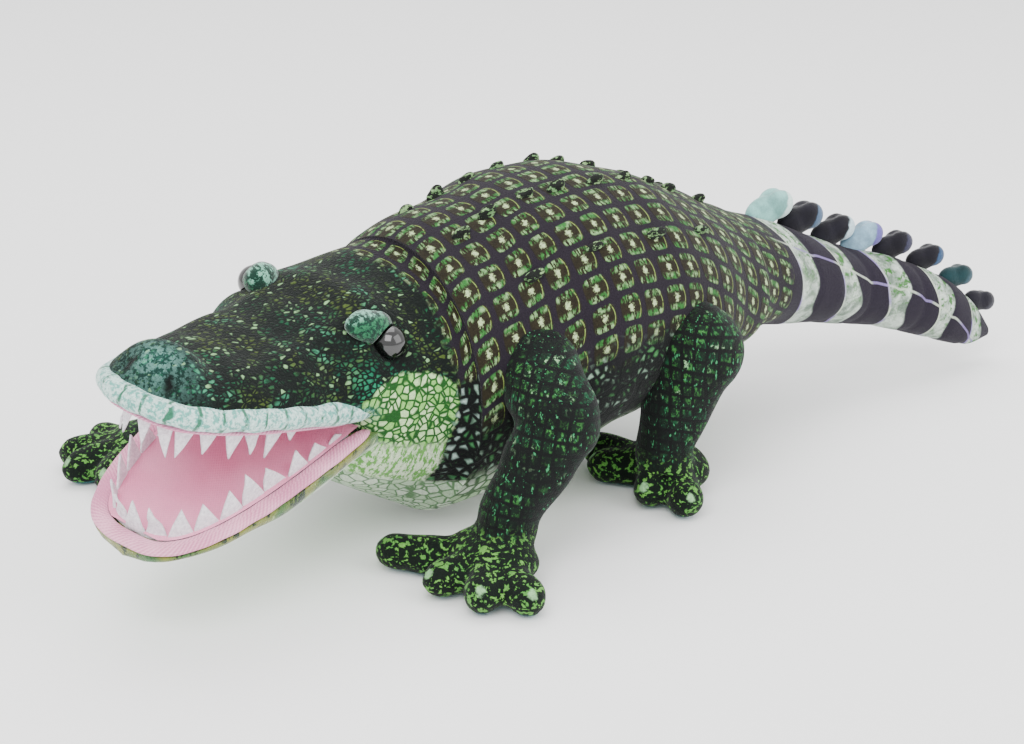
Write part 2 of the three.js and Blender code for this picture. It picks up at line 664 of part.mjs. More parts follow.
// The side seam rises from the chest to the tail.
const seamSlope = Math.atan2(34, 240);
const seamPlane = (z) => place(0, 0, z).multiply(new THREE.Matrix4().makeRotationX(seamSlope));
const SEAM_Z = 46;
const upper = moved(box(400, 500, 300, place(0, 0, 150)), seamPlane(SEAM_Z));
const lower = moved(box(400, 500, 300, place(0, 0, -150)), seamPlane(SEAM_Z - GAP));
piece(torso, "back_skin", torsoShell.intersect(upper), BACK);
piece(torso, "belly_skin", torsoShell.intersect(lower).subtract(sleeve(HEM + GAP)), BELLY);
const hem = torsoBody(0).subtract(torsoInner).intersect(lower).intersect(sleeve(HEM)).subtract(sleeve(0));
piece(torso, "sleeve_hem", hem, LINING_CLOTH);
const bodyFilling = torsoBody(PLUSH + GAP).subtract(torsoCut).subtract(sleeve(GAP));
piece(torso, "body_stuffing", bodyFilling, FILL);
const sleeveWall = sleeve(0).subtract(sleeve(-LINING)).intersect(torsoBody(PLUSH + GAP)).subtract(torsoCut);
piece(torso, "hand_sleeve", sleeveWall, LINING_CLOTH);

// ---------- legs, cleared of the neck ----------
for (const [name, made] of Object.entries(legs)) {
  const { leg, outer, legHollow, footHollow, filling, footOuter, sole, below } = made;
  const pivot = new THREE.Vector3(...leg.root);
  const neckReach = swept(neckSocket, pivot, Z_AXIS, [-LEG_SWING, 0, LEG_SWING]);
  const group = new THREE.Group();
  root.add(group);
  piece(group, `${name}_leg_skin`, outer.subtract(legHollow).subtract(neckReach), LEG);
  piece(group, `${name}_stuffing`, filling.subtract(neckReach), FILL);
  piece(group, `${name}_foot_skin`, footOuter.intersect(below).subtract(footHollow).subtract(floorCut), LEG);
  piece(group, `${name}_sole`, sole, SOLE);
}

// ---------- neck ----------
const NECK_BAND = 34;
const band = box(400, 2 * NECK_BAND, 400, place(...NECK_PIVOT));
const neckTube = (grow) => {
  const path = new THREE.LineCurve3(
    new THREE.Vector3(NECK_PIVOT.x, NECK_PIVOT.y + 80, NECK_PIVOT.z),
    new THREE.Vector3(NECK_PIVOT.x, NECK_PIVOT.y - 80, NECK_PIVOT.z),
  );
  return sweep(path, () => [SLEEVE_W + grow, SLEEVE_H + grow], AROUND, 1);
};
const neckBallR = NECK_R - FACET;
const neckCore = ball(neckBallR - PLUSH, NECK_PIVOT, 14, 8);
piece(neck, "neck_skin", ball(neckBallR, NECK_PIVOT, 14, 8).subtract(neckCore).intersect(band), HEAD_CLOTH);
const neckFilling = ball(neckBallR - PLUSH - GAP, NECK_PIVOT, 14, 8).intersect(band).subtract(neckTube(GAP));
piece(neck, "neck_stuffing", neckFilling, FILL);
const neckLining = neckTube(0).subtract(neckTube(-LINING)).intersect(ball(neckBallR - PLUSH - GAP, NECK_PIVOT, 14, 8));
piece(neck, "neck_sleeve", neckLining.intersect(band), LINING_CLOTH);

// ---------- tail ----------
const tailFront = solid(
  new THREE.CylinderGeometry(TAIL_R, TAIL_R, 300, 16),
  place(...TAIL_PIVOT).multiply(new THREE.Matrix4().makeRotationX(Math.PI / 2)),
).add(box(400, 300, 400, place(0, TAIL_PIVOT.y + 150, 80)));
const tailCore = (inset) => spineBody(TAIL, 70, 334, inset, 12, 8);
const tailBody = (inset) => tailCore(inset).intersect(tailFront);
const tailEnd = (inset) => box(400, 400, 400, place(0, 334 - inset - 200, 80));
piece(tail, "tail_skin", tailBody(0).subtract(tailCore(PLUSH).intersect(tailEnd(PLUSH))), TAIL_CLOTH);
const tailFrontFill = box(400, 400, 400, place(0, 84 + 6 + 200, 80)).intersect(tailEnd(PLUSH + GAP));
piece(tail, "tail_stuffing", tailBody(PLUSH + GAP).intersect(tailFrontFill), FILL);
const FINS = [163, 187, 212, 233, 254, 277, 300, 320];
FINS.forEach((y, i) => {
  const size = 1 - 0.04 * i;
  const fin = solid(
    new THREE.SphereGeometry(1, 7, 5),
    place(at(TAIL, y, 1), y + 3, at(TAIL, y, 4) + 4 * size)
      .multiply(new THREE.Matrix4().makeRotationX(0.5))
      .multiply(new THREE.Matrix4().makeScale(5 * size, 9 * size, 11 * size)),
  );
  piece(tail, `tail_fin_${i + 1}`, fin.subtract(tailCore(-GAP)), FIN);
});

export default root;
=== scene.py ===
"""A plush reptile hand puppet: printed skins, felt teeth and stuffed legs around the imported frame."""
import json
import math

import bmesh
import bpy
import numpy as np
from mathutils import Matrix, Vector


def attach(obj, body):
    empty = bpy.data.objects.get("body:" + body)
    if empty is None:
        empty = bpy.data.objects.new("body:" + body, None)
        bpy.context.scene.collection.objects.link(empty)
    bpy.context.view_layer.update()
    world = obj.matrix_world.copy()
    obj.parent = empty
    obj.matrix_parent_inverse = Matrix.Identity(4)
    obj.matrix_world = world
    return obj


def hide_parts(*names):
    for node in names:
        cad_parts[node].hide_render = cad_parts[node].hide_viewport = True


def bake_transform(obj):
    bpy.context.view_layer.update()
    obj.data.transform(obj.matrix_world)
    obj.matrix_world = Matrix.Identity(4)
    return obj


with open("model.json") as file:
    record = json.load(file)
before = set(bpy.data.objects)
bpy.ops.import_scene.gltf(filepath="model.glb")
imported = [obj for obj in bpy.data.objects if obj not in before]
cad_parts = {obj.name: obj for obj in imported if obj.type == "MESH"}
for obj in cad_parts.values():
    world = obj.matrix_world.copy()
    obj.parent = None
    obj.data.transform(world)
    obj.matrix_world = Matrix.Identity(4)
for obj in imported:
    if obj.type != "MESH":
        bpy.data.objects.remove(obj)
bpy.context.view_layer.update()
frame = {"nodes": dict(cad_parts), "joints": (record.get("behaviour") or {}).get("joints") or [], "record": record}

# ---------- frame: millimetres along the puppet's spine, turned into row metres at the end ----------
MM = 0.001
PIVOT = {j["name"]: np.array(j["pos_m"]) / MM for j in frame["joints"]}
HINGE = np.array([0.0, -167.0, 93.0])
SHIFT = PIVOT["jaw_open"] - HINGE
HEAD_TURN, HEAD_LIFT, HEAD_ROLL, GAPE = (math.radians(a) for a in (16, 11.8, 10.5, 29.7))
RNG = np.random.default_rng(7)


def rotation(axis, angle):
    c, s = math.cos(angle), math.sin(angle)
    i, j = [(1, 2), (2, 0), (0, 1)][axis]
    m = np.eye(3)
    m[i, i], m[i, j], m[j, i], m[j, j] = c, -s, s, c
    return m


HEAD_R = rotation(2, HEAD_TURN) @ rotation(0, -HEAD_LIFT) @ rotation(1, HEAD_ROLL)
JAW_R = HEAD_R @ rotation(0, GAPE)


def head_point(p):
    return np.asarray(p, float) @ HEAD_R.T + HINGE


def jaw_point(p):
    return np.asarray(p, float) @ JAW_R.T + HINGE


def row(p):
    return (np.asarray(p, float) + SHIFT) * MM


def smooth(table, t, c):
    """Smooth value of a table's column c at t, where column 0 is t."""
    table = np.asarray(table, float)
    x, y = table[:, 0], table[:, c]
    slope = np.gradient(y, x)
    t = np.clip(np.asarray(t, float), x[0], x[-1])
    i = np.clip(np.searchsorted(x, t, side="right") - 1, 0, len(x) - 2)
    h = x[i + 1] - x[i]
    s = (t - x[i]) / h
    return (
        (2 * s**3 - 3 * s**2 + 1) * y[i] + (s**3 - 2 * s**2 + s) * h * slope[i]
        + (-2 * s**3 + 3 * s**2) * y[i + 1] + (s**3 - s**2) * h * slope[i + 1]
    )


def ease(x, low, high):
    s = np.clip((np.asarray(x, float) - low) / (high - low), 0, 1)
    return s * s * (3 - 2 * s)


# ---------- tables: y, middle x, half width, lowest z, highest z ----------
SPINE = [
    [-150, -4, 60, 18, 142], [-97, -4, 72, 8, 158], [-50, -2, 80, 17, 170], [0, 0, 84, 29, 175],
    [50, 0, 78, 38, 163], [100, 0, 60, 46, 141], [140, 0, 46, 53, 124], [180, 4, 38, 48, 109],
    [216, 11, 31, 42, 93], [260, 25, 24, 30, 78], [300, 38, 15, 17, 57], [322, 43, 9, 12, 38],
    [334, 46, 3, 14, 22],
]
NECK_Y = -108
SLEEVE = (0, 49, 37, 29)  # the hand opening: middle x and y, and half sizes
TAIL_Y = 118
TAIL_END = 334
# Head: forward distance, half width, lowest z, highest z, height of the widest place.
HEAD = [
    [-58, 66, -62, 62, 0], [-34, 64, -57, 61, 2], [-12, 60, -46, 57, 5], [4, 56, -26, 53, 8],
    [14, 54, -6, 48, 10], [25, 52, 2, 43, 9], [60, 47, 2, 31.5, 8], [95, 41, 2, 24.5, 7],
    [113, 34, 2, 21, 6.5], [123, 25, 2.5, 16, 6], [130, 11, 4, 10, 6],
]
MOUTH_W, MOUTH_L, LIP_POWER, LIP_TAPER = 52, 137, 0.62, 0.13
EYE, EYE_R, SOCKET, BROW = (43.5, -4, 38), 8.6, (42, -3, 37), (34.5, -12, 43.5)
BROW_HALVES, BROW_TURN, BROW_GAP = (8.0, 13.5, 8.6), 0.30, 9.6
LEGS = {
    "front_left": dict(
        root=[62, -70, 95], knee=[95, -82, 76], ankle=[89, -112, 34], palm=[90, -122, 14],
        toes=[[-60, 54], [-9, 32], [40, 36], [72, 42]], knee_r=22),
    "front_right": dict(
        root=[-66, -74, 95], knee=[-104, -98, 72], ankle=[-140, -152, 34], palm=[-148, -170, 14],
        toes=[[-76, 36], [-46, 44], [-14, 42], [22, 38]], knee_r=22),
    "rear_left": dict(
        root=[54, 40, 86], knee=[78, 30, 84], ankle=[74, 14, 34], palm=[63, 28, 14],
        toes=[[-84, 50], [-56, 36], [24, 30], [60, 42]], knee_r=28),
    "rear_right": dict(
        root=[-54, 46, 86], knee=[-80, 38, 84], ankle=[-88, 24, 34], palm=[-94, 20, 14],
        toes=[[-62, 42], [-28, 38], [8, 38], [44, 42]], knee_r=28),
}
ROOT_R, ANKLE_R, TOE_R = 24, 17, 10
PALM = (27, 20, 14)
FINS = [163, 187, 212, 233, 254, 277, 300, 320]

# ---------- mesh helpers ----------


def wobble(p, size, wave, seed):
    """Soft unevenness of stuffed cloth: a signed amount for each point."""
    r = np.random.default_rng(seed)
    total = np.zeros(p.shape[:-1])
    for _ in range(7):
        k = r.normal(size=3)
        k *= 2 * math.pi / (wave * r.uniform(0.7, 1.5)) / np.linalg.norm(k)
        total += np.sin(p @ k + r.uniform(0, 6.28))
    return total * size / 2.6


def point_values(mesh, key, values):
    a = mesh.attributes.new(key, "FLOAT", "POINT")
    a.data.foreach_set("value", np.asarray(values, np.float32).ravel())


def make(name, points, faces, uvs=None, attributes=None, smooth_shade=True):
    """A mesh object from points in the spine's millimetres. uvs holds one pair for each face corner."""
    mesh = bpy.data.meshes.new(name)
    mesh.from_pydata([tuple(p) for p in row(points)], [], faces)
    if uvs is not None:
        layer = mesh.uv_layers.new(name="UVMap")
        layer.data.foreach_set("uv", np.asarray(uvs, np.float32).ravel())
    for key, values in (attributes or {}).items():
        point_values(mesh, key, values)
    mesh.polygons.foreach_set("use_smooth", [smooth_shade] * len(mesh.polygons))
    mesh.update()
    obj = bpy.data.objects.new(name, mesh)
    bpy.context.scene.collection.objects.link(obj)
    return obj


def keep_rest(obj):
    """Stores each point's place at rest. The prints are laid out on it, so they move with the cloth."""
    mesh = obj.data
    co = np.empty(len(mesh.vertices) * 3, np.float32)
    mesh.vertices.foreach_get("co", co)
    a = mesh.attributes.get("rest") or mesh.attributes.new("rest", "FLOAT_VECTOR", "POINT")
    a.data.foreach_set("vector", co)


def grid(name, p, closed=True, ends=(True, True), attributes=None, toward=1):
    """A skin over rings of points p[ring, around]. Its UVs are metres along it, negative if toward is -1,
    and around it from its middle column."""
    nu, nv = p.shape[:2]
    wrap = np.concatenate([p, p[:, :1]], 1) if closed else p
    along = np.concatenate([[0], np.cumsum(np.linalg.norm(np.diff(p.mean(1), axis=0), axis=1))])
    around = np.linalg.norm(np.diff(wrap, axis=1), axis=2)
    around = np.concatenate([np.zeros((nu, 1)), np.cumsum(around, 1)], 1)
    around -= around[:, [wrap.shape[1] // 2]]
    uv = np.stack([np.repeat(along[:, None] * toward, wrap.shape[1], 1), around], 2) * MM
    points = p.reshape(-1, 3)
    faces, uvs = [], []
    for i in range(nu - 1):
        for j in range(wrap.shape[1] - 1):
            k = (j + 1) % nv
            faces.append((i * nv + j, i * nv + k, (i + 1) * nv + k, (i + 1) * nv + j))
            uvs += [uv[i, j], uv[i, j + 1], uv[i + 1, j + 1], uv[i + 1, j]]
    attributes = {k: list(np.asarray(v).ravel()) for k, v in (attributes or {}).items()}
    extra = []
    for end, i in zip(ends, (0, nu - 1)):
        if not (end and closed):
            continue
        centre = len(points) + len(extra)
        extra.append(p[i].mean(0))
        for v in attributes.values():
            v.append(v[i * nv])
        for j in range(nv):
            k = (j + 1) % nv
            tri = (i * nv + k, i * nv + j, centre) if i == 0 else (i * nv + j, i * nv + k, centre)
            faces.append(tri)
            uvs += [uv[i, j], uv[i, j], uv[i, j]]
    if extra:
        points = np.concatenate([points, extra])
    obj = make(name, points, faces, uvs, attributes)
    face_out(obj)
    keep_rest(obj)
    return obj


def face_out(obj):
    bm = bmesh.new()
    bm.from_mesh(obj.data)
    bmesh.ops.recalc_face_normals(bm, faces=bm.faces)
    bm.to_mesh(obj.data)
    bm.free()


def sweep_points(path, radii, around, up=(0, 0, 1), start=0.0):
    """Rings of points round a path, radii[ring] = (across, up)."""
    path = np.asarray(path, float)
    along = np.gradient(path, axis=0)
    along /= np.linalg.norm(along, axis=1)[:, None]
    across = np.cross(along, np.asarray(up, float))
    across /= np.linalg.norm(across, axis=1)[:, None]
    lift = np.cross(across, along)
    a = start + np.linspace(0, 2 * math.pi, around, endpoint=False)
    radii = np.asarray(radii, float)
    return (
        path[:, None]
        + across[:, None] * radii[:, None, :1] * np.sin(a)[None, :, None]
        + lift[:, None] * radii[:, None, 1:] * np.cos(a)[None, :, None]
    )


def ball_points(centre, halves, around=24, up=14, turn=None):
    a = np.linspace(0, 2 * math.pi, around, endpoint=False)
    b = np.linspace(0.06, math.pi - 0.06, up)
    p = np.stack([
        np.sin(b)[:, None] * np.cos(a), np.sin(b)[:, None] * np.sin(a),
        np.repeat(np.cos(b)[:, None], around, 1)], 2) * np.asarray(halves, float)
    if turn is not None:
        p = p @ turn.T
    return p + np.asarray(centre, float)


def cone_points(p0, p1, r0, r1, around=20, steps=8):
    t = np.linspace(0, 1, steps)[:, None]
    path = np.asarray(p0, float) * (1 - t) + np.asarray(p1, float) * t
    r = r0 + (r1 - r0) * t
    return sweep_points(path, np.concatenate([r, r], 1), around, up=(0.03, 1, 0.02))


def fuse(name, parts, voxel, smoothing=6):
    """Closed bodies melted into one even skin."""
    objs = [grid(f"{name}_{i}", p) for i, p in enumerate(parts)]
    bpy.ops.object.select_all(action="DESELECT")
    for o in objs:
        o.select_set(True)
    bpy.context.view_layer.objects.active = objs[0]
    bpy.ops.object.join()
    o = bpy.context.view_layer.objects.active
    o.name = name
    o.data.name = name
    m = o.modifiers.new("remesh", "REMESH")
    m.mode, m.voxel_size, m.use_smooth_shade = "VOXEL", voxel * MM, True
    s = o.modifiers.new("smooth", "SMOOTH")
    s.factor, s.iterations = 0.5, smoothing
    apply_modifiers(o)
    return o


def apply_modifiers(o):
    deps = bpy.context.evaluated_depsgraph_get()
    deps.update()
    mesh = bpy.data.meshes.new_from_object(o.evaluated_get(deps), depsgraph=deps)
    old = o.data
    o.modifiers.clear()
    o.data = mesh
    mesh.name = o.name
    bpy.data.meshes.remove(old)


def get_co(o):
    co = np.empty(len(o.data.vertices) * 3, np.float64)
    o.data.vertices.foreach_get("co", co)
    return co.reshape(-1, 3)


def set_co(o, co):
    o.data.vertices.foreach_set("co", np.asarray(co, np.float32).ravel())
    o.data.update()


def normals_of(o):
    n = np.empty(len(o.data.vertices) * 3, np.float32)
    o.data.vertices.foreach_get("normal", n)
    return n.reshape(-1, 3)


# ---------- materials ----------


class Print:
    """A material with a few short names for its nodes. Values may be numbers or sockets."""

    def __init__(self, name, roughness=0.85, sheen=0.06, specular=0.18):
        self.mat = bpy.data.materials.new(name)
        self.mat.use_nodes = True
        self.tree = self.mat.node_tree
        self.shader = self.tree.nodes["Principled BSDF"]
        self.shader.inputs["Roughness"].default_value = roughness
        self.shader.inputs["Sheen Weight"].default_value = sheen
        self.shader.inputs["Sheen Roughness"].default_value = 0.4
        self.shader.inputs["Specular IOR Level"].default_value = specular
        self.rest = self.attribute("rest", "Vector")
        uv = self.node("ShaderNodeUVMap")
        uv.uv_map = "UVMap"
        self.uv = uv.outputs[0]

    def node(self, kind, **inputs):
        n = self.tree.nodes.new(kind)
        for key, value in inputs.items():
            self.put(n.inputs[key.replace("_", " ")], value)
        return n

    def put(self, socket, value):
        if isinstance(value, bpy.types.NodeSocket):
            self.tree.links.new(value, socket)
        elif hasattr(value, "__len__") and len(value) == 3 and socket.type == "RGBA":
            socket.default_value = (*value, 1)
        else:
            socket.default_value = value

    def attribute(self, name, output="Fac"):
        n = self.node("ShaderNodeAttribute")
        n.attribute_name = name
        return n.outputs[output]

    def math(self, op, a, b=0.0, c=0.0):
        n = self.node("ShaderNodeMath")
        n.operation = op
        for socket, value in zip(n.inputs, (a, b, c)):
            self.put(socket, value)
        return n.outputs[0]

    def mul(self, a, b):
        return self.math("MULTIPLY", a, b)

    def add(self, a, b):
        return self.math("ADD", a, b)

    def sub(self, a, b):
        return self.math("SUBTRACT", a, b)

    def size(self, a):
        return self.math("ABSOLUTE", a)

    def step(self, x, low, high):
        n = self.node("ShaderNodeMapRange")
        n.interpolation_type = "SMOOTHSTEP"
        for i, value in enumerate((x, low, high, 0.0, 1.0)):
            self.put(n.inputs[i], value)
        return n.outputs[0]

    def mix(self, fac, a, b):
        n = self.node("ShaderNodeMix")
        n.data_type = "RGBA"
        self.put(n.inputs[0], fac)
        self.put(n.inputs[6], a)
        self.put(n.inputs[7], b)
        return n.outputs[2]

    def split(self, vector):
        return self.node("ShaderNodeSeparateXYZ", Vector=vector).outputs

    def join(self, x, y, z=0.0):
        n = self.node("ShaderNodeCombineXYZ")
        for socket, value in zip(n.inputs, (x, y, z)):
            self.put(socket, value)
        return n.outputs[0]

    def stretch(self, vector, sizes):
        """The vector divided by sizes, in metres."""
        n = self.node("ShaderNodeVectorMath")
        n.operation = "MULTIPLY"
        self.put(n.inputs[0], vector)
        n.inputs[1].default_value = [1 / s for s in sizes]
        return n.outputs[0]

    def noise(self, vector, scale=1.0, detail=2.0, roughness=0.5):
        n = self.node("ShaderNodeTexNoise", Vector=vector)
        n.inputs["Scale"].default_value = scale
        n.inputs["Detail"].default_value = detail
        n.inputs["Roughness"].default_value = roughness
        return n.outputs[0]

    def cells(self, vector, feature="DISTANCE_TO_EDGE"):
        n = self.node("ShaderNodeTexVoronoi", Vector=vector)
        n.feature = feature
        n.inputs["Scale"].default_value = 1
        return n.outputs["Distance"] if feature == "DISTANCE_TO_EDGE" else n.outputs["Color"]

    def warp(self, vector, size, amount):
        """The vector moved about by noise of the given size."""
        n = self.node("ShaderNodeTexNoise", Vector=vector)
        n.inputs["Scale"].default_value = 1 / size
        n.inputs["Detail"].default_value = 1
        m = self.node("ShaderNodeVectorMath")
        m.operation = "MULTIPLY_ADD"
        self.put(m.inputs[0], n.outputs["Color"])
        m.inputs[1].default_value = [amount] * 3
        self.put(m.inputs[2], vector)
        return m.outputs[0]

    def finish(self, colour, pile=1.0, height=None, bump=0.5):
        """Sets the colour, with the nap's fine light and dark, and its bump."""
        nap = self.noise(self.rest, 1 / 0.0011, 3, 0.7)
        shade = self.step(nap, 0.3, 0.7)
        dark = self.mix(0.32 * pile, colour, (0.0, 0.0, 0.0))
        self.put(self.shader.inputs["Base Color"], self.mix(shade, dark, colour))
        total = self.mul(nap, pile)
        if height is not None:
            total = self.add(total, height)
        b = self.node("ShaderNodeBump", Height=total)
        b.inputs["Strength"].default_value = bump
        b.inputs["Distance"].default_value = 0.0012
        self.put(self.shader.inputs["Normal"], b.outputs[0])
        return self.mat


CHARCOAL = (0.0125, 0.0090, 0.0150)
BLACK = (0.0022, 0.0034, 0.0032)


def pebbles(p, size, light, mid, dark, edge=0.09):
    """Small rounded scales with dark outlines, in two shades."""
    v = p.stretch(p.warp(p.rest, 0.02, 0.004), (size, size, size))
    d = p.cells(v)
    tone = p.split(p.cells(v, "F1"))[0]
    inner = p.mix(p.step(tone, 0.25, 0.75), mid, light)
    return p.mix(p.step(d, edge * 0.4, edge * 1.6), dark, inner)


def scute_print(p):
    """Rings of rounded scutes on a charcoal grid, which turn into pebbles down the flanks."""
    size = 0.0165
    uv = p.stretch(p.warp(p.uv, 0.03, 0.003), (size, size, 1))
    u, v, _ = p.split(uv)
    fu = p.sub(p.math("FRACT", u), 0.5)
    fv = p.sub(p.math("FRACT", v), 0.5)
    au, av = p.size(fu), p.size(fv)
    box = p.math("POWER", p.add(p.math("POWER", au, 4), p.math("POWER", av, 4)), 0.25)
    inside = p.step(box, 0.43, 0.37)
    brown = p.mix(p.noise(uv, 5, 2), (0.006, 0.005, 0.003), (0.026, 0.021, 0.009))
    streak = p.noise(p.join(p.mul(u, 11.0), p.mul(v, 3.0)), 1.0, 3, 0.7)
    hatch = p.mul(p.step(streak, 0.45, 0.54), p.step(av, 0.14, 0.27))
    hatch = p.mul(hatch, p.step(au, 0.38, 0.30))
    tint = p.mix(p.step(p.noise(uv, 3.3, 2), 0.42, 0.62), (0.030, 0.15, 0.030), (0.22, 0.38, 0.16))
    colour = p.mix(hatch, brown, tint)
    bow = p.add(fu, p.mul(p.mul(fv, fv), 0.7))
    arc = p.size(p.sub(bow, 0.36))
    broken = p.step(p.noise(uv, 6, 2), 0.36, 0.50)
    colour = p.mix(p.mul(p.step(arc, 0.026, 0.006), broken), colour, (0.20, 0.28, 0.07))
    away = p.math("SQRT", p.add(p.mul(fu, fu), p.mul(p.mul(fv, fv), 0.55)))
    ragged = p.sub(p.noise(uv, 12, 3, 0.7), 0.5)
    spot = p.step(p.add(away, p.mul(ragged, 0.34)), 0.120, 0.040)
    colour = p.mix(spot, colour, (0.46, 0.60, 0.30))
    return p.mix(inside, CHARCOAL, colour), p.mul(inside, 0.5)


def back_material():
    p = Print("back_plush_print")
    top, height = scute_print(p)
    net = pebbles(p, 0.0046, (0.30, 0.46, 0.34), (0.05, 0.20, 0.06), BLACK, 0.26)
    _, around, _ = p.split(p.uv)
    low = p.add(p.size(around), p.mul(p.noise(p.rest, 40, 3), 0.03))
    _, y, z = p.split(p.rest)
    side = p.step(p.sub(low, p.mul(z, 0.1)), 0.118, 0.140)
    flank = p.mix(p.step(p.noise(p.rest, 55, 3, 0.6), 0.42, 0.58), net, BLACK)
    colour = p.mix(side, top, flank)
    pale = pebbles(p, 0.0080, (0.62, 0.72, 0.58), (0.40, 0.58, 0.34), (0.07, 0.15, 0.06), 0.10)
    colour = p.mix(p.step(p.add(z, p.mul(y, -0.1)), 0.060, 0.042), colour, pale)
    return p.finish(colour, height=height)


def head_material():
    p = Print("head_plush_print")
    v = p.stretch(p.warp(p.rest, 0.02, 0.006), (0.0023, 0.0034, 0.0021))
    d = p.cells(v)
    tone = p.split(p.cells(v, "F1"))[0]
    patch = p.noise(p.rest, 26, 3, 0.6)
    tint = p.mix(p.step(patch, 0.42, 0.56), (0.006, 0.085, 0.034), (0.060, 0.095, 0.016))
    tint = p.mix(p.step(p.noise(p.rest, 38, 2), 0.54, 0.66), tint, (0.05, 0.28, 0.15))
    tint = p.mix(p.step(tone, 0.84, 0.98), tint, (0.24, 0.44, 0.20))
    streak = p.noise(p.stretch(p.warp(p.rest, 0.02, 0.008), (0.0026, 0.0075, 0.0022)), 1, 3, 0.7)
    blotch = p.noise(p.rest, 70, 3, 0.65)
    lit = p.step(p.add(p.mul(tone, 0.25), p.mul(p.add(streak, blotch), 0.5)), 0.55, 0.74)
    scale = p.step(d, 0.06, 0.30)
    colour = p.mix(p.mul(lit, scale), (0.0016, 0.0042, 0.0030), tint)
    teal = p.mul(p.attribute("under"), p.step(p.noise(p.rest, 90, 2), 0.40, 0.55))
    colour = p.mix(p.mul(teal, scale), colour, (0.008, 0.21, 0.105))
    top, _ = scute_print(p)
    nape = p.add(p.attribute("nape"), p.mul(p.sub(p.noise(p.rest, 60, 3, 0.6), 0.5), 0.8))
    colour = p.mix(p.step(nape, 0.35, 0.65), colour, top)
    net = pebbles(p, 0.0046, (0.36, 0.50, 0.44), (0.05, 0.20, 0.07), BLACK, 0.26)
    flank = p.add(p.attribute("flank"), p.mul(p.noise(p.rest, 50, 3), 0.5))
    colour = p.mix(p.step(flank, 0.60, 0.85), colour, net)
    cheek = pebbles(p, 0.0040, (0.54, 0.78, 0.38), (0.26, 0.58, 0.14), (0.010, 0.08, 0.012), 0.13)
    streaks = p.noise(p.stretch(p.rest, (0.004, 0.002, 0.007)), 1, 3, 0.65)
    washed = p.mix(p.step(streaks, 0.46, 0.56), (0.66, 0.80, 0.56), (0.14, 0.38, 0.08))
    cheek = p.mix(p.step(p.add(p.attribute("low"), p.mul(streaks, 0.5)), 0.75, 1.10), cheek, washed)
    pale = pebbles(p, 0.0062, (0.66, 0.76, 0.62), (0.46, 0.62, 0.42), (0.12, 0.24, 0.11), 0.08)
    edge = p.mul(p.sub(p.noise(p.rest, 120, 3, 0.7), 0.5), 0.8)
    colour = p.mix(p.step(p.add(p.attribute("cheek"), edge), 0.36, 0.64), colour, cheek)
    colour = p.mix(p.step(p.add(p.attribute("throat"), p.mul(edge, 0.5)), 0.35, 0.65), colour, pale)
    speckle = p.step(p.noise(p.rest, 330, 3, 0.75), 0.45, 0.55)
    mint = p.mix(speckle, (0.010, 0.070, 0.055), (0.18, 0.42, 0.36))
    colour = p.mix(p.mul(p.attribute("mint"), 0.75), colour, mint)
    # Painted shade in the eye sockets and nostrils.
    colour = p.mix(p.attribute("dark"), colour, (0.0015, 0.002, 0.002))
    return p.finish(colour, height=p.mul(scale, 0.4))


def mint_material():
    """Dark green turning pale mint towards the top, which is painted highlight, with dark green spots, for the
    brows.
    """
    p = Print("brow_plush_print", sheen=0.4)
    spots = p.step(p.noise(p.warp(p.rest, 0.01, 0.004), 330, 3, 0.7), 0.43, 0.53)
    # Painted highlight: the brow's top is painted paler mint.
    crown_highlight = p.step(p.add(p.attribute("crown_highlight"), p.mul(p.noise(p.rest, 90, 1), 0.5)), 0.45, 0.95)
    base = p.mix(crown_highlight, (0.024, 0.16, 0.070), (0.20, 0.50, 0.36))
    return p.finish(p.mix(spots, base, (0.006, 0.035, 0.022)))


def lip_material():
    p = Print("lip_plush_print", sheen=0.5)
    u, _, _ = p.split(p.uv)
    ripple = p.mul(p.noise(p.rest, 120, 2), 0.006)
    wave = p.math("FRACT", p.math("DIVIDE", p.add(u, ripple), 0.0115))
    stripe = p.step(p.size(p.sub(wave, 0.5)), 0.11, 0.04)
    stripe = p.mul(stripe, p.step(p.noise(p.rest, 200, 2, 0.6), 0.38, 0.52))
    fleck = p.step(p.noise(p.rest, 420, 2, 0.7), 0.40, 0.56)
    base = p.mix(fleck, (0.14, 0.42, 0.36), (0.56, 0.78, 0.72))
    colour = p.mix(stripe, base, (0.035, 0.17, 0.10))
    return p.finish(colour)


def jaw_material():
    p = Print("jaw_plush_print", sheen=0.5)
    streak = p.noise(p.stretch(p.rest, (0.006, 0.006, 0.012)), 1.0, 3, 0.7)
    base = p.mix(p.step(p.noise(p.rest, 50, 2), 0.38, 0.62), (0.05, 0.16, 0.05), (0.22, 0.24, 0.04))
    colour = p.mix(p.step(streak, 0.52, 0.60), base, (0.010, 0.028, 0.010))
    colour = p.mix(p.step(streak, 0.36, 0.30), colour, (0.46, 0.58, 0.26))
    pale = pebbles(p, 0.0115, (0.80, 0.87, 0.74), (0.55, 0.74, 0.48), (0.16, 0.34, 0.14), 0.05)
    colour = p.mix(p.attribute("throat"), colour, pale)
    return p.finish(colour)


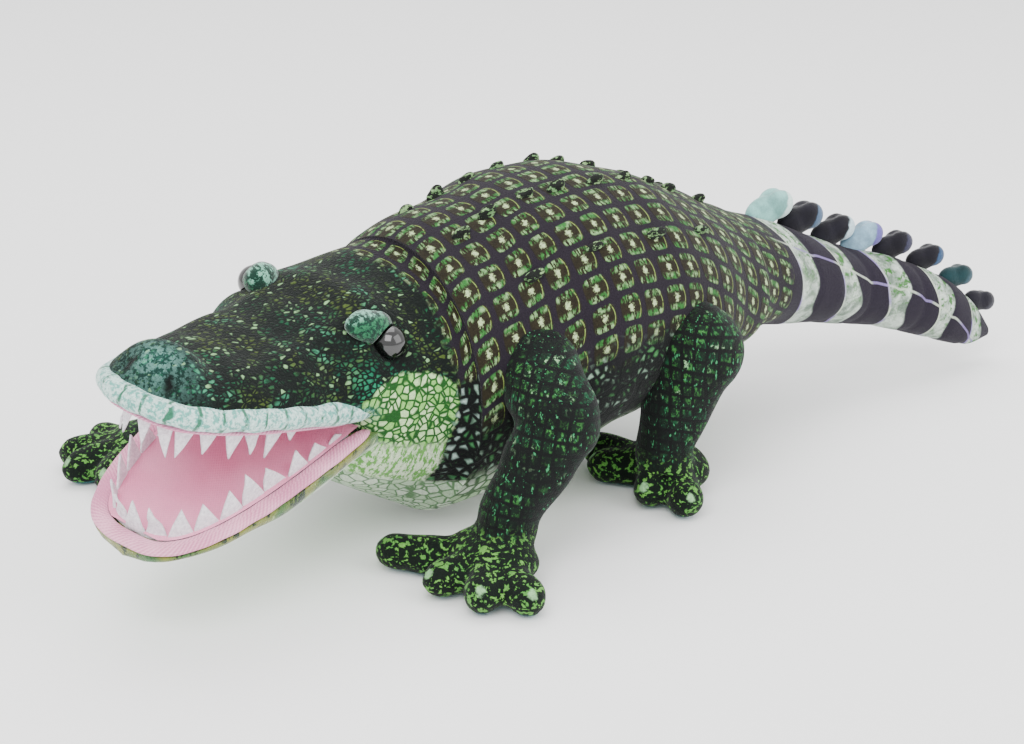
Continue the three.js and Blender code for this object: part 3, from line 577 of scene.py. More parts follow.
def leg_material():
    p = Print("leg_plush_print")
    v = p.stretch(p.warp(p.rest, 0.03, 0.005), (0.0068, 0.0068, 0.0068))
    x, y, z = p.split(v)
    fx = p.size(p.sub(p.math("FRACT", p.add(x, p.mul(y, 0.55))), 0.5))
    fz = p.size(p.sub(p.math("FRACT", p.add(z, p.mul(y, 0.25))), 0.5))
    square = p.mul(p.step(fx, 0.42, 0.28), p.step(fz, 0.42, 0.28))
    dash = p.step(p.noise(p.stretch(p.rest, (0.0022, 0.0022, 0.0034)), 1.0, 3, 0.7), 0.50, 0.60)
    patch = p.step(p.noise(p.rest, 30, 3, 0.6), 0.47, 0.58)
    tint = p.mix(p.step(p.noise(p.rest, 48, 1), 0.42, 0.58), (0.006, 0.075, 0.030), (0.035, 0.17, 0.035))
    tint = p.mix(p.step(p.noise(p.rest, 130, 2), 0.60, 0.68), tint, (0.28, 0.50, 0.26))
    grid_tint = p.mix(dash, (0.004, 0.014, 0.007), tint)
    colour = p.mix(p.mul(square, p.add(p.mul(patch, 0.85), 0.15)), BLACK, grid_tint)
    stray = p.step(p.noise(p.stretch(p.rest, (0.0018, 0.0018, 0.0042)), 1.0, 2, 0.6), 0.64, 0.70)
    colour = p.mix(p.mul(stray, 0.8), colour, (0.05, 0.30, 0.12))
    curl = p.noise(p.stretch(p.warp(p.rest, 0.008, 0.006), (0.0030, 0.0030, 0.0024)), 1, 2, 0.6)
    bright = p.mix(p.noise(p.rest, 110, 2), (0.020, 0.18, 0.035), (0.20, 0.46, 0.08))
    toe_tint = p.mix(p.step(curl, 0.54, 0.61), (0.0022, 0.0065, 0.0035), bright)
    colour = p.mix(p.attribute("foot"), colour, toe_tint)
    glint = p.step(p.add(p.attribute("glint"), p.mul(p.noise(p.rest, 420, 3, 0.7), 0.9)), 0.95, 1.45)
    colour = p.mix(glint, colour, (0.26, 0.50, 0.24))
    colour = p.mix(p.attribute("sole"), colour, (0.03, 0.22, 0.24))
    return p.finish(colour, height=p.mul(square, 0.25))


def tail_material():
    p = Print("tail_plush_print")
    u, around, _ = p.split(p.uv)
    bend = p.add(u, p.mul(p.mul(around, around), -1.6))
    bend = p.add(bend, p.mul(p.noise(p.rest, 22, 1), 0.012))
    band = p.math("DIVIDE", bend, 0.043)
    saw = p.math("FRACT", band)
    odd = p.math("MULTIPLY_ADD", p.noise(p.rest, 30, 1), 0.5, 0.10)
    dark = p.mul(p.step(p.sub(saw, odd), -0.02, 0.03), p.step(saw, 0.995, 0.97))
    moss = p.step(p.noise(p.warp(p.rest, 0.01, 0.006), 170, 4, 0.75), 0.50, 0.58)
    high = p.step(p.add(p.size(around), p.mul(p.noise(p.rest, 60, 2), 0.02)), 0.075, 0.040)
    patch = p.mix(p.step(p.noise(p.rest, 70, 4, 0.7), 0.35, 0.65), (0.16, 0.22, 0.17), (0.60, 0.68, 0.60))
    patch = p.mix(p.mul(moss, p.add(p.mul(high, 0.75), 0.2)), patch, (0.035, 0.17, 0.02))
    colour = p.mix(dark, patch, (0.016, 0.012, 0.022))
    line = p.step(p.size(p.sub(saw, 0.98)), 0.026, 0.008)
    net = p.size(p.sub(p.size(around), 0.034))
    line = p.math("MAXIMUM", line, p.mul(p.step(net, 0.0012, 0.0004), 0.8))
    lavender = p.mix(p.step(p.noise(p.rest, 45, 1), 0.45, 0.6), (0.55, 0.62, 0.50), (0.26, 0.20, 0.44))
    colour = p.mix(line, colour, lavender)
    top, _ = scute_print(p)
    front = p.step(p.add(u, p.mul(p.noise(p.rest, 60, 2), 0.02)), 0.046, 0.030)
    return p.finish(p.mix(front, colour, top))


def fin_material(name, body, end):
    p = Print(name, sheen=0.4)
    soft = p.noise(p.rest, 90, 2)
    base = p.mix(p.step(soft, 0.35, 0.65), [c * 0.6 for c in body], body)
    streak = p.noise(p.stretch(p.rest, (0.012, 0.004, 0.004)), 1, 2)
    colour = p.mix(p.step(p.add(p.attribute("end"), p.mul(streak, 0.5)), 0.75, 1.05), base, end)
    return p.finish(colour, pile=0.6)


def cloth_material(name, low, high, size, kind="knit", roughness=0.8, sheen=0.2):
    """A plain cloth with its weave, ribs or knit as bump, fine random tone, and painted shade that darkens its
    grooves.
    """
    p = Print(name, roughness=roughness, sheen=sheen)
    if kind == "rib":
        u, v, _ = p.split(p.uv)
        rib = p.math("SINE", p.mul(p.add(u, p.mul(v, 0.9)), 2 * math.pi / size))
        fine = p.math("SINE", p.mul(v, 2 * math.pi / (size * 0.6)))
        height = p.add(p.mul(rib, 0.5), p.mul(fine, 0.2))
    else:
        x, y, z = p.split(p.stretch(p.rest, (size, size, size)))
        height = p.mul(p.mul(p.math("SINE", p.mul(p.add(x, z), 6.283)), p.math("SINE", p.mul(y, 6.283))), 0.5)
    tone = p.noise(p.rest, 35, 2)
    # Painted shade: the tone follows the bump's height, so grooves are darker and ridges lighter.
    colour = p.mix(p.step(p.add(tone, p.mul(height, 0.25)), 0.25, 0.75), low, high)
    return p.finish(colour, pile=0.25, height=p.mul(height, 0.8), bump=0.35)


def felt_material():
    p = Print("white_felt", roughness=0.95, sheen=0.5)
    fibre = p.noise(p.warp(p.rest, 0.003, 0.002), 520, 4, 0.75)
    colour = p.mix(p.step(fibre, 0.35, 0.65), (0.66, 0.63, 0.68), (0.88, 0.87, 0.90))
    return p.finish(colour, pile=0.4, height=fibre, bump=0.6)


def hard_material(name, colour, roughness):
    p = Print(name, roughness=roughness, sheen=0.0, specular=0.6)
    p.shader.inputs["Coat Weight"].default_value = 0.6
    p.shader.inputs["Coat Roughness"].default_value = 0.04
    smudge = p.noise(p.rest, 300, 2)
    tone = p.mix(smudge, colour, [c * 1.25 + 0.001 for c in colour])
    p.put(p.shader.inputs["Base Color"], tone)
    p.put(p.shader.inputs["Roughness"], p.math("MULTIPLY_ADD", smudge, 0.06, roughness))
    return p.mat


def paint(obj, material):
    obj.data.materials.clear()
    obj.data.materials.append(material)
    return obj


# ---------- camera, light, floor ----------
CAMERA_AZ, CAMERA_EL, CAMERA_DIST, CAMERA_F = math.radians(48.4), math.radians(20.1), 1198, 2200
target = np.array([0, -30, 65])
level = math.cos(CAMERA_EL)
back = np.array([math.sin(CAMERA_AZ) * level, -math.cos(CAMERA_AZ) * level, math.sin(CAMERA_EL)])
camera = bpy.data.objects.new("camera", bpy.data.cameras.new("camera"))
camera.location = row(target + back * CAMERA_DIST)
camera.rotation_euler = Vector(back).to_track_quat("Z", "Y").to_euler()
camera.data.sensor_width = 36
camera.data.lens = CAMERA_F / 1024 * 36
bpy.context.scene.collection.objects.link(camera)
bpy.context.scene.camera = camera


def floor():
    n = 8
    s = np.linspace(-4500, 4500, n)
    x, y = np.meshgrid(s, s, indexing="ij")
    p = np.stack([x, y, np.full_like(x, -0.4)], 2)
    o = grid("floor", p, closed=False)
    m = bpy.data.materials.new("pale_floor")
    m.use_nodes = True
    m.node_tree.nodes["Principled BSDF"].inputs["Base Color"].default_value = (0.97, 0.97, 0.97, 1)
    m.node_tree.nodes["Principled BSDF"].inputs["Roughness"].default_value = 0.9
    paint(o, m)


floor()


def area_light(name, place, size, power):
    data = bpy.data.lights.new(name, "AREA")
    data.size, data.energy = size, power
    o = bpy.data.objects.new(name, data)
    o.location = place
    o.rotation_euler = Vector(place).to_track_quat("Z", "Y").to_euler()
    bpy.context.scene.collection.objects.link(o)


area_light("key", (0.9, -1.3, 1.7), 1.5, 46)
area_light("fill", (1.6, 0.6, 1.1), 1.6, 22)
area_light("top", (-0.6, 0.3, 1.9), 1.6, 24)
world = bpy.data.worlds.new("studio")
world.use_nodes = True
world.node_tree.nodes["Background"].inputs[0].default_value = (1, 1, 1, 1)
world.node_tree.nodes["Background"].inputs[1].default_value = 1.45
bpy.context.scene.world = world

# ---------- torso, neck and tail skins ----------
AROUND = 168
ANGLES = np.linspace(-math.pi, math.pi, AROUND, endpoint=False)


def spine_ring(y, angles=ANGLES, proud=0.0):
    """Points round the body at each y."""
    y = np.asarray(y, float)[:, None]
    half = smooth(SPINE, y, 2) + proud
    low, high = smooth(SPINE, y, 3) - proud, smooth(SPINE, y, 4) + proud
    a = angles[None, :]
    x = smooth(SPINE, y, 1) + half * np.sin(a)
    z = (high + low) / 2 + (high - low) / 2 * np.cos(a)
    return np.stack([x, np.broadcast_to(y, x.shape), z], 2)


def outward(p):
    """Unit directions away from each ring's middle."""
    d = p - p.mean(1, keepdims=True)
    d[..., 1] *= 0.2
    return d / np.linalg.norm(d, axis=2, keepdims=True)


def build_back():
    """The body's skin, open where the hand goes in."""
    y = np.arange(NECK_Y, TAIL_Y + 0.1, 2.0)
    p = spine_ring(y)
    swell = wobble(p, 1.1, 60, 3) + 0.8
    legs = [(s * 62, yy, 95) for s, yy in ((1, -70), (-1, -74))] + [(s * 54, 43, 86) for s in (1, -1)]
    for x, yy, z in legs:
        d = np.linalg.norm((p - [x * 1.25, yy, z]) / [1, 1, 1], axis=2)
        swell -= 1.2 * np.exp(-((d - 27) / 6) ** 2)
    swell *= ease(y, NECK_Y, NECK_Y + 6)[:, None] * ease(y, TAIL_Y, TAIL_Y - 5)[:, None]
    p = p + outward(p) * swell[..., None]
    o = grid("back_skin_plush", p, ends=(False, False))
    bm = bmesh.new()
    bm.from_mesh(o.data)
    way_in = []
    for f in bm.faces:
        x, yy, z = np.array(f.calc_center_median()) / MM - SHIFT
        if z < 70 and ((x - SLEEVE[0]) / SLEEVE[2]) ** 2 + ((yy - SLEEVE[1]) / SLEEVE[3]) ** 2 < 1:
            way_in.append(f)
    bmesh.ops.delete(bm, geom=way_in, context="FACES")
    bm.to_mesh(o.data)
    bm.free()
    paint(o, MATERIAL["back"])
    return o


def build_tail():
    """The tail's skin, with a crease behind each fin."""
    y = np.concatenate([np.arange(TAIL_Y, 318, 2.0), TAIL_END - 16 * np.cos(np.linspace(0, math.pi / 2, 9))])
    y = np.unique(np.round(y, 3))
    p = spine_ring(y, ANGLES[::2])
    crease = np.zeros_like(y)
    for f in FINS:
        crease += 0.8 * np.exp(-((y - f - 12) / 2.5) ** 2)
    swell = wobble(p, 0.8, 45, 5) - crease[:, None]
    swell *= ease(y, TAIL_Y, TAIL_Y + 6)[:, None] * ease(y, TAIL_END, TAIL_END - 20)[:, None]
    p = p + outward(p) * swell[..., None]
    o = grid("tail_skin_plush", p, ends=(False, True))
    paint(o, MATERIAL["tail"])
    return o


def surface_frame(y, angle):
    """A point of the body's skin, with the directions out of it and back along it."""
    ring = spine_ring([y - 1, y + 1], np.array([angle - 0.02, angle + 0.02]))
    point = ring.mean((0, 1))
    along = ring[1].mean(0) - ring[0].mean(0)
    side = ring[:, 1].mean(0) - ring[:, 0].mean(0)
    along /= np.linalg.norm(along)
    out = np.cross(side, along)
    out /= np.linalg.norm(out)
    if out @ (point - spine_ring([y]).mean((0, 1))) < 0:
        out = -out
    side = np.cross(along, out)
    return point, np.stack([side, along, out], 1)


# Two rows of pinched tufts along the back: y, and degrees from the top.
TUFTS = [(y, a) for a in (-17, 17) for y in range(-84, 112, 22)]
TUFTS += [(y, a) for a in (-48, 48) for y in range(-66, 60, 40)]


def build_tufts():
    for i, (y, degrees) in enumerate(TUFTS):
        point, axes = surface_frame(y + RNG.uniform(-3, 3), math.radians(degrees + RNG.uniform(-2, 2)))
        p = ball_points((0, 0, 0), (3.4, 5.8, 4.4), 20, 14)
        lean = p[..., 2].clip(0) ** 1.5 * 0.25
        p[..., 1] += lean
        p[..., 0] *= 1 - 0.35 * np.exp(-((p[..., 2] - 1.0) / 1.6) ** 2)
        p = (p + [0, 0, 0.4]) @ axes.T + point
        p += wobble(p, 0.5, 9, 40 + i)[..., None] * axes[:, 2]
        o = grid(f"back_tuft_{i + 1}", p, attributes={"knob": np.ones(p.shape[:2])})
        paint(o, MATERIAL["tuft"])
        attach(o, "torso")


def build_fins():
    """Puffy fins of three lobes along the tail."""
    black, pale = (0.010, 0.009, 0.015), (0.50, 0.66, 0.72)
    looks = [
        ((0.26, 0.56, 0.52), (0.62, 0.80, 0.76)), (black, (0.07, 0.12, 0.20)), (black, pale),
        ((0.26, 0.42, 0.54), (0.12, 0.10, 0.34)), (black, (0.03, 0.03, 0.06)), (black, (0.03, 0.07, 0.15)),
        ((0.008, 0.035, 0.040), (0.02, 0.06, 0.08)), (black, (0.02, 0.02, 0.03)),
    ]
    for i, (y, (body, end)) in enumerate(zip(FINS, looks)):
        size = 1 - 0.04 * i
        point, axes = surface_frame(y + 3, 0.0)
        lobes = [
            ball_points((0, 0, 5.0), (7.0, 14.5, 9.0), 28, 18, rotation(0, 0.50)),
            ball_points((3.5, 7.0, 11), (5.8, 10.0, 8.6), 28, 18, rotation(0, 0.40)),
            ball_points((-3.5, 7.0, 11), (5.8, 10.0, 8.6), 28, 18, rotation(0, 0.40)),
        ]
        lobes = [(l * size) @ axes.T + point for l in lobes]
        o = fuse(f"tail_fin_{i + 1}_plush", lobes, 1.3, 3)
        local = (get_co(o) / MM - SHIFT - point) @ axes
        point_values(o.data, "end", ease(local[:, 1], 2 * size, 12 * size))
        keep_rest(o)
        paint(o, fin_material(f"fin_plush_{i + 1}", body, end))
        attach(o, "tail")
        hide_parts(f"tail_fin_{i + 1}")


# ---------- mouth outline ----------
def outline(inset, count=241, reach=1.0):
    """Evenly spaced points along the mouth's edge, from right corner to left. Forward is -y."""
    a = np.linspace(0, math.pi / 2, 600)

    def edge(ins):
        length = MOUTH_L - ins
        forward = length * np.cos(a) ** LIP_POWER
        half = (MOUTH_W - ins) * (1 - LIP_TAPER * forward / length)
        return half * np.sin(a) ** LIP_POWER, forward

    x0, f0 = edge(0)
    arc = np.concatenate([[0], np.cumsum(np.hypot(np.diff(x0), np.diff(f0)))])
    s = np.linspace(-reach, reach, count)
    k = np.interp(np.abs(s) * arc[-1], arc, np.arange(len(a)))
    x, f = edge(inset)
    index = np.arange(len(a))
    return np.stack([np.interp(k, index, x) * np.sign(s), -np.interp(k, index, f)], 1), s


def outline_half(forward, inset):
    a = np.linspace(0, math.pi / 2, 600)
    length = MOUTH_L - inset
    f = length * np.cos(a) ** LIP_POWER
    x = (MOUTH_W - inset) * (1 - LIP_TAPER * f / length) * np.sin(a) ** LIP_POWER
    return np.interp(forward, f[::-1], x[::-1])


def mirror(place, side):
    return [side * place[0], place[1], place[2]]


def lip_height(v):
    return 5 + np.maximum(0, 26 - v) * 0.1


def build_head():
    """The head's skin, from the neck's last ring to the nose."""
    v = np.concatenate([np.arange(-58, 110, 2.0), 130 - 20 * np.cos(np.linspace(0, math.pi / 2, 16))])
    half = smooth(HEAD, v, 1)
    half = np.where(v > 20, half + (outline_half(v, 5.5) - half) * ease(v, 20, 45), half)[:, None]
    low, high, side = (smooth(HEAD, v, c)[:, None] for c in (2, 3, 4))
    a = ANGLES[None, :]
    up = np.cos(a)
    flat = ease(v, 0, 30)[:, None]
    power = 0.9 - 0.5 * flat
    z = np.where(up > 0, side + (high - side) * np.abs(up) ** 0.85, side - (side - low) * np.abs(up) ** power)
    x = half * np.sin(a)
    local = np.stack([x, np.broadcast_to(-v[:, None], x.shape), z], 2)
    # The nose mound and two ridges are pushed out of the muzzle's plain form, the sockets and nostrils in.
    out = np.stack([np.sin(a) * np.ones_like(x), np.zeros_like(x), np.broadcast_to(up, x.shape)], 2)
    top = (up > 0) * 1.0
    push = wobble(local, 0.8, 38, 11)
    lx, ly = local[..., 0], -local[..., 1]
    nose = np.exp(-((lx / 20) ** 2 + ((ly - 116) / 13) ** 2) ** 1.5)
    push = push + 9.5 * nose * top
    for s in (1, -1):
        nostril = np.exp(-(((lx - s * 12) / 3.6) ** 2 + ((ly - 124) / 3.2) ** 2))
        push = push - 3.0 * nostril * top
        socket = np.exp(-np.sum(((local - mirror(SOCKET, s)) / 10) ** 2, axis=2) ** 1.5)
        push = push - 2.5 * socket
        ridge = np.exp(-(((lx - s * 25) / 7) ** 2)) * ease(ly, 5, 25) * ease(ly, 112, 60)
        push = push + 1.8 * ridge * top
    fade = ease(v, -58, -48)[:, None]
    local = local + out * (push * fade)[..., None]
    whole = head_point(local)
    neck = spine_ring([NECK_Y], proud=0.0)[0]
    w = ease(v, -58, -14)[:, None, None]
    p = neck[None] * (1 - w) + whole * w
    lx, ly, lz = local[..., 0], -local[..., 1], local[..., 2]
    round_cheek = ((ly + 8) / 38) ** 2 + ((lz + 7) / 33) ** 2
    cheek = ease(round_cheek, 1.35, 0.65) * ease(ly, -40, -20)
    cheek = np.maximum(cheek, ease(lz, -8, -22) * ease(ly, -40, -22))
    low = ease(lz, 8, -26) * np.ones_like(lz)
    nape = ease(ly, -14, -44) * ease(lz, -14, 14)
    flank = ease(ly, -18, -34) * ease(lz, 34, 4)
    under = np.exp(-(((ly - 16) / 22) ** 2 + ((lz - 20) / 9) ** 2))
    throat = ease(lz, -30, -44) * np.ones_like(lz)
    mint = 0.75 * np.exp(-((lx / 17) ** 2 + ((ly - 122) / 9) ** 2)) * top
    mint = np.maximum(mint, ease(lz, 11, 7) * ease(ly, 8, 22) * 0.9)
    # Painted shade: the pushed-in eye sockets and nostrils are painted near black.
    dark = np.zeros_like(lz)
    for s in (1, -1):
        nostril = ((lx - s * 12) / 3.2) ** 2 + ((ly - 124.5) / 2.6) ** 2
        dark = np.maximum(dark, np.exp(-(nostril**2)) * top)
        dark = np.maximum(dark, np.exp(-np.sum(((local - mirror(SOCKET, s)) / 11.5) ** 2, axis=2) ** 2))
    look = dict(
        cheek=cheek, throat=throat, mint=mint, dark=dark, low=low, under=under, nape=nape, flank=flank)
    o = grid("head_skin_plush", p, ends=(False, True), attributes=look, toward=-1)
    paint(o, MATERIAL["head"])
    return o


def build_jaw():
    v = np.concatenate([np.arange(-22, 122, 2.0), 136 - 14 * np.cos(np.linspace(0, math.pi / 2, 14))])
    half = np.where(v > 0, outline_half(np.maximum(v, 0), 1.0), 51 + v * 0.25)[:, None]
    depth = (6 + 16 * np.maximum(0, 1 - (v / 124) ** 2))[:, None]
    depth = np.where(v[:, None] < 0, 22 + v[:, None] * 0.2, depth)
    a = ANGLES[None, :]
    up = np.cos(a)
    side = np.sign(np.sin(a)) * np.abs(np.sin(a)) ** 0.7
    z = np.where(up > 0, -3.0 + 0.8 * up, -3.0 - depth * np.abs(up) ** 0.8)
    local = np.stack([half * side, np.broadcast_to(-v[:, None], z.shape), z], 2)
    out = np.stack([np.broadcast_to(np.sin(a), z.shape), np.zeros_like(z), np.broadcast_to(up, z.shape)], 2)
    local = local + out * (wobble(local, 0.6, 30, 21) * (up < 0))[..., None]
    throat = ease(local[..., 2], -9, -12) * np.ones_like(z)
    o = grid("jaw_skin_plush", jaw_point(local), ends=(False, True), attributes=dict(throat=throat))
    paint(o, MATERIAL["jaw"])
    return o


def rim_roll(name, place, inset, reach, height, radii, around=20, count=241, wave=0.0, seed=0):
    xy, s = outline(inset, count, reach)
    forward = -xy[:, 1]
    path = np.column_stack([xy, height(forward)])
    r = np.array([radii(f) for f in forward], float)
    end = np.sqrt(np.clip(1 - (np.abs(s) / reach) ** 24, 0.02, 1))
    p = sweep_points(path, r * end[:, None], around)
    if wave:
        away = p - path[:, None]
        p = p + wobble(p, wave, 16, seed)[..., None] * away / np.linalg.norm(away, axis=2, keepdims=True)
    return grid(name, place(p))


def tooth_strip(name, place, inset, down, seed):
    """A felt strip with pointed teeth along the mouth's edge, each leaning its own way."""
    teeth, per = 19, 12
    count = teeth * per + 1
    xy, _ = outline(inset, count, 0.88)
    r = np.random.default_rng(seed)
    k = np.arange(count) / per
    index = np.minimum(k.astype(int), teeth - 1)
    phase = 1 - np.abs(2 * (k - index) - 1)
    scale, lean = r.uniform(0.85, 1.12, teeth), r.normal(0, 1.5, teeth)
    bow = r.normal(0.6, 1.0, teeth)
    forward = -xy[:, 1]
    peak = np.clip(0.34 * (forward - 16), 0.8, 16.5)
    high = 2.4 + peak * phase**0.92 * scale[index]
    tangent = np.gradient(xy, axis=0)
    tangent /= np.linalg.norm(tangent, axis=1)[:, None]
    inwards = np.column_stack([tangent[:, 1], -tangent[:, 0]])
    middle = xy.mean(0)
    inwards *= np.sign(((middle - xy) * inwards).sum(1))[:, None]
    rows = np.linspace(0, 1, 9)
    loops = []
    for side, offset in ((0, 0.0), (1, 1.7)):
        for t in (rows if side == 0 else rows[::-1]):
            z = high * t
            thin = offset * (1 - 0.45 * t**2) + 0.25 * t**2
            puff = (bow[index] * np.sin(np.clip(z / 14, 0, 1) * math.pi) * 0.8 + 0.9 * t**2 * phase)
            pos = xy + inwards * (thin + puff)[:, None] + tangent * (lean[index] * (z / 15) ** 1.5)[:, None]
            loops.append(np.column_stack([pos, z if not down else -z]))
    p = np.stack(loops, 1)
    base = 1.2 if down else -3.0
    p[..., 2] += base
    return grid(name, place(p))


def build_mouth():
    made = {}
    lip = rim_roll("upper_lip_plush", head_point, 6.5, 0.955, lip_height,
                   lambda f: (6.3 + 0.9 * ease(f, 60, 20), 5.6 + 0.9 * ease(f, 60, 20)), 24, 301, 0.35, 31)
    made["lip"] = paint(lip, MATERIAL["lip"])
    upper = rim_roll("upper_binding_knit", head_point, 9.5, 0.93, lambda f: lip_height(f) - 7.0,
                     lambda f: (3.2, 1.4), 14, 301, 0.12, 33)
    made["upper_binding"] = paint(upper, MATERIAL["binding"])
    lower = rim_roll("jaw_binding_knit", jaw_point, 5.0, 0.94, lambda f: -1.1 - np.maximum(0, 24 - f) * 0.06,
                     lambda f: (4.5, 2.0), 16, 301, 0.15, 35)
    made["lower_binding"] = paint(lower, MATERIAL["binding"])
    made["upper_teeth"] = paint(tooth_strip("upper_teeth_felt", head_point, 14.6, True, 51), MATERIAL["felt"])
    made["lower_teeth"] = paint(tooth_strip("lower_teeth_felt", jaw_point, 10.5, False, 52), MATERIAL["felt"])
    # One pink sheet lines the palate, turns at the fold and lines the jaw.
    rows_head = np.linspace(124, 9, 50)
    turn = np.linspace(0, 1, 15)[1:-1]
    rows_jaw = np.linspace(9, 126, 50)
    cols = np.linspace(-1, 1, 61)
    rings = []
    for f in rows_head:
        x = cols * outline_half(f, 11.0)
        z = -1.2 - 0.8 * (1 - cols**2) * np.sin(f / 17)
        rings.append(head_point(np.column_stack([x, np.full_like(x, -f), z])))
    top = head_point(np.column_stack([cols * 44, np.full(61, -9.0), np.full(61, -1.2)]))
    low = jaw_point(np.column_stack([cols * 46, np.full(61, -9.0), np.full(61, 0.4)]))
    heel = head_point(np.column_stack([cols * 45, np.full(61, 1.0), np.full(61, -1.8)]))
    for t in turn:
        rings.append(top * (1 - t) ** 2 + heel * 2 * t * (1 - t) + low * t**2)
    for f in rows_jaw:
        x = cols * outline_half(f, 9.0)
        z = 0.4 + 0.5 * (1 - cols**2) * np.sin(f / 14 + 1)
        rings.append(jaw_point(np.column_stack([x, np.full_like(x, -f), z])))
    o = grid("mouth_lining_knit", np.stack(rings), closed=False)
    made["lining"] = paint(o, MATERIAL["pink"])
    return made


def build_eyes():
    for name, s in (("left", 1), ("right", -1)):
        centre = head_point(mirror(EYE, s))
        o = grid(f"{name}_eye_dome", ball_points(centre, [EYE_R] * 3, 48, 32))
        paint(o, MATERIAL["eye"])
        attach(o, "head")
        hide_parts(f"{name}_eye")


def build_brows():
    """Stuffed hoods that arch over the eyes, with a painted highlight on their tops."""
    made = []
    for name, s in (("left", 1), ("right", -1)):
        turn = rotation(2, s * -BROW_TURN)
        p = ball_points((0, 0, 0), BROW_HALVES, 48, 34)
        # Painted highlight: paler towards the top of each hood, towards the middle and forward.
        crown_highlight = ease(p[..., 2] / 9 - p[..., 0] * s / 16 - p[..., 1] / 26, -0.2, 1.3)
        local = p @ turn.T + mirror(BROW, s)
        gap = local - mirror(EYE, s)
        away = np.linalg.norm(gap, axis=2, keepdims=True)
        local = local + gap / away * np.clip(BROW_GAP - away, 0, None)
        p = head_point(local)
        p += wobble(p, 0.6, 12, 61 + s)[..., None] * HEAD_R[:, 2]
        o = grid(f"{name}_brow_plush", p, attributes=dict(crown_highlight=crown_highlight))
        paint(o, MATERIAL["brow"])
        made.append((o, f"{name}_brow"))
    return made


def build_leg(name, leg):
    """A leg's skin, and the tips of its toes."""
    root, knee, ankle, palm = (np.array(leg[k], float) for k in ("root", "knee", "ankle", "palm"))
    rk = leg["knee_r"]
    below = ankle - [0, 0, 12]
    parts = [
        ball_points(root, [ROOT_R - 1] * 3), cone_points(root, knee, ROOT_R - 1, rk - 1),
        ball_points(knee, [rk - 1] * 3), cone_points(knee, ankle, rk - 2, ANKLE_R - 2),
        cone_points(ankle + [0, 0, 4], below, ANKLE_R - 2, ANKLE_R - 1), ball_points(palm, PALM),
    ]
    tips = []
    for aim, reach in leg["toes"]:
        t = math.radians(aim)
        d = np.array([math.sin(t), -math.cos(t), 0])
        half = reach / 2 + 5
        base = palm * [1, 1, 0] + [0, 0, TOE_R]
        turn = rotation(2, t)
        parts.append(ball_points(base + d * half, (TOE_R + 0.6, half, TOE_R), 24, 20, turn))
        parts.append(cone_points(base + [0, 0, 1], base + d * (reach - 3), TOE_R, TOE_R, 20, 8))
        parts.append(ball_points(base + d * (reach - 4), (TOE_R, TOE_R + 3, TOE_R), 24, 20, turn))
        tips.append(base + d * (reach + 6))
    o = fuse(f"{name}_leg_plush", parts, 2.6, 5)
    return o, tips


def finish_leg(o, name, tips):
    co = get_co(o) / MM - SHIFT
    normal = normals_of(o)
    co += normal * wobble(co, 0.7, 26, sum(map(ord, name)))[:, None]
    co[:, 2] = np.maximum(co[:, 2], 0.4)
    foot = ease(co[:, 2], 34, 22)
    glint = np.zeros(len(co))
    for t in tips:
        spot = np.linalg.norm((co - (t + [0, 0, 5.0])) / [1, 1, 1.4], axis=1)
        glint = np.maximum(glint, ease(spot, 4.6, 1.6))
    sole = ease(co[:, 2], 2.6, 1.2)
    set_co(o, row(co))
    for key, values in dict(foot=foot, glint=glint, sole=sole).items():
        point_values(o.data, key, values)
    keep_rest(o)
    paint(o, MATERIAL["leg"])


def inflate(objs, pressure, cap, frames=20):
    """Lets each closed skin swell as stuffed cloth does, and keeps the result within cap millimetres."""
    scene = bpy.context.scene
    rest = [get_co(o) for o in objs]
    for o in objs:
        m = o.modifiers.new("cloth", "CLOTH")
        m.settings.use_pressure = True
        m.settings.uniform_pressure_force = pressure
        m.settings.quality = 4
        m.settings.tension_stiffness = 18
        m.settings.bending_stiffness = 1.5
        m.settings.effector_weights.gravity = 0
        m.point_cache.frame_start, m.point_cache.frame_end = 1, frames
    for f in range(1, frames + 1):
        scene.frame_set(f)
    deps = bpy.context.evaluated_depsgraph_get()
    for o, before in zip(objs, rest):
        mesh = o.evaluated_get(deps).to_mesh()
        after = np.empty(len(mesh.vertices) * 3)
        mesh.vertices.foreach_get("co", after)
        move = after.reshape(-1, 3) - before
        length = np.linalg.norm(move, axis=1, keepdims=True)
        move *= np.minimum(1, cap * MM / np.maximum(length, 1e-9))
        o.evaluated_get(deps).to_mesh_clear()
        o.modifiers.clear()
        set_co(o, before + move)
    scene.frame_set(1)


MATERIAL = {
    "back": back_material(), "head": head_material(), "brow": mint_material(), "lip": lip_material(),
    "jaw": jaw_material(), "leg": leg_material(), "tail": tail_material(), "felt": felt_material(),
    "pink": cloth_material("pink_lining_knit", (0.78, 0.26, 0.42), (0.86, 0.36, 0.52), 0.0012),
    "binding": cloth_material("pink_rib_binding", (0.62, 0.22, 0.36), (0.86, 0.42, 0.56), 0.0022, "rib"),
    "lining": cloth_material("dark_lining_weave", (0.012, 0.012, 0.014), (0.03, 0.03, 0.034), 0.0009),
    "fill": cloth_material("fibre_fill", (0.80, 0.80, 0.78), (0.92, 0.92, 0.90), 0.004),
    "board": cloth_material("grey_card", (0.55, 0.52, 0.45), (0.66, 0.62, 0.54), 0.0015),
    "eye": hard_material("black_eye_plastic", (0.002, 0.002, 0.002), 0.10),
    "washer": hard_material("white_washer_plastic", (0.80, 0.80, 0.78), 0.35),
}


def tuft_material():
    p = Print("tuft_plush_print")
    v = p.stretch(p.rest, (0.003, 0.006, 0.003))
    speck = p.noise(v, 1.3, 3, 0.65)
    tint = p.mix(p.noise(p.rest, 150, 1), (0.04, 0.20, 0.06), (0.34, 0.48, 0.22))
    return p.finish(p.mix(p.step(speck, 0.52, 0.60), (0.008, 0.010, 0.008), tint))


MATERIAL["tuft"] = tuft_material()

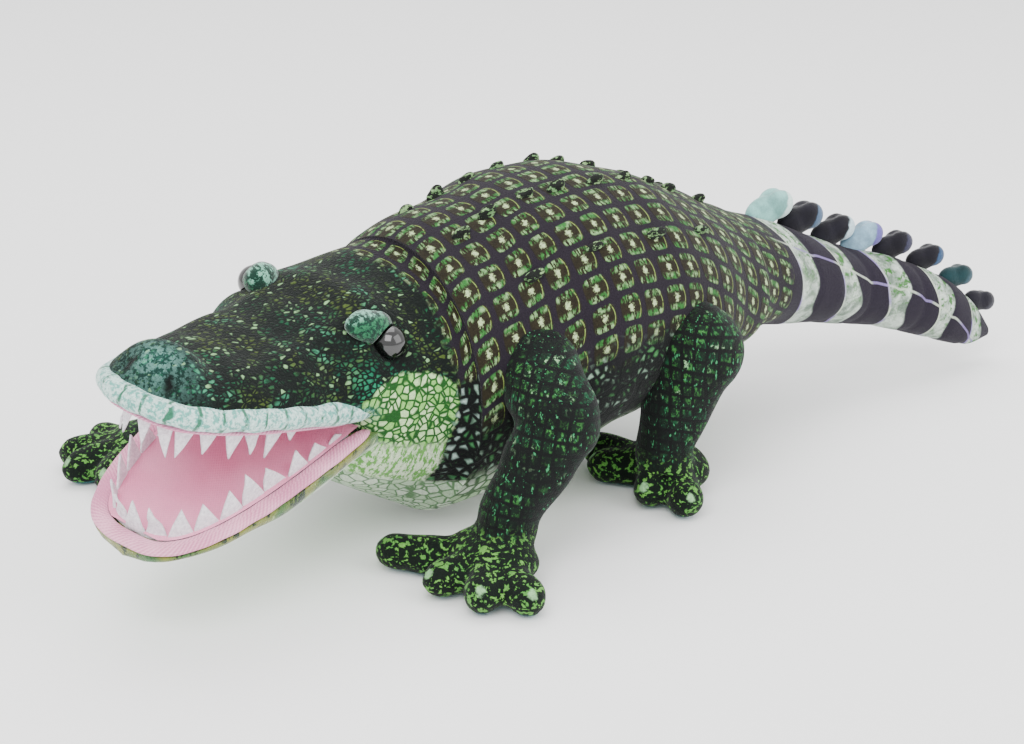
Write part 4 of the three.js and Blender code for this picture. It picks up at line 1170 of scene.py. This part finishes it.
back_skin = build_back()
tail_skin = build_tail()
head_skin = build_head()
jaw_skin = build_jaw()
mouth = build_mouth()
brows = build_brows()
legs = {name: build_leg(name, leg) for name, leg in LEGS.items()}
inflate([o for o, _ in legs.values()] + [o for o, _ in brows], 4.0, 2.0)
for name, (o, tips) in legs.items():
    finish_leg(o, name, tips)
    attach(o, f"{name}_leg")
    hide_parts(f"{name}_leg_skin", f"{name}_stuffing", f"{name}_foot_skin", f"{name}_sole")
for o, node in brows:
    keep_rest(o)
    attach(o, "head")
    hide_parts(node)
build_eyes()
build_tufts()
build_fins()


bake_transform(back_skin)
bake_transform(head_skin)
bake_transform(tail_skin)
jaw_forward = -(HEAD_R @ rotation(0, GAPE / 2))[:, 1]
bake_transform(jaw_skin)
fold_up = (HEAD_R @ rotation(0, GAPE / 2))[:, 2]
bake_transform(mouth["lining"])
for key in ("lip", "upper_binding", "upper_teeth"):
    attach(mouth[key], "head")
for key in ("lower_binding", "lower_teeth"):
    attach(mouth[key], "jaw")
for o, slot, nodes in (
    (back_skin, "back_plush", ["back_skin", "belly_skin", "neck_skin"]),
    (tail_skin, "tail_plush", ["tail_skin"]),
    (head_skin, "head_plush", ["head_skin", "throat_skin", "nose_pad"]),
    (jaw_skin, "jaw_plush", ["jaw_skin"]),
    (mouth["lip"], "lip_plush", ["upper_lip"]),
    (mouth["upper_binding"], "pink_binding", ["upper_binding"]),
    (mouth["lower_binding"], "pink_binding", ["jaw_binding"]),
    (mouth["upper_teeth"], "tooth_felt", ["upper_teeth"]),
    (mouth["lower_teeth"], "tooth_felt", ["lower_teeth"]),
    (mouth["lining"], "pink_lining", ["palate_lining", "jaw_lining"]),
):
    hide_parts(*nodes)

# ---------- inner pieces that stay as the frame has them ----------
INNER = {"stuffing": "fill", "lining_cloth": "lining", "board": "board", "washer": "washer"}
for part in frame["record"]["subparts"]:
    node = frame["nodes"][part["node"]]
    if not node.hide_render:
        kind = INNER.get(part["material_slot"])
        if kind:
            for slot in node.material_slots:
                slot.material = MATERIAL[kind]
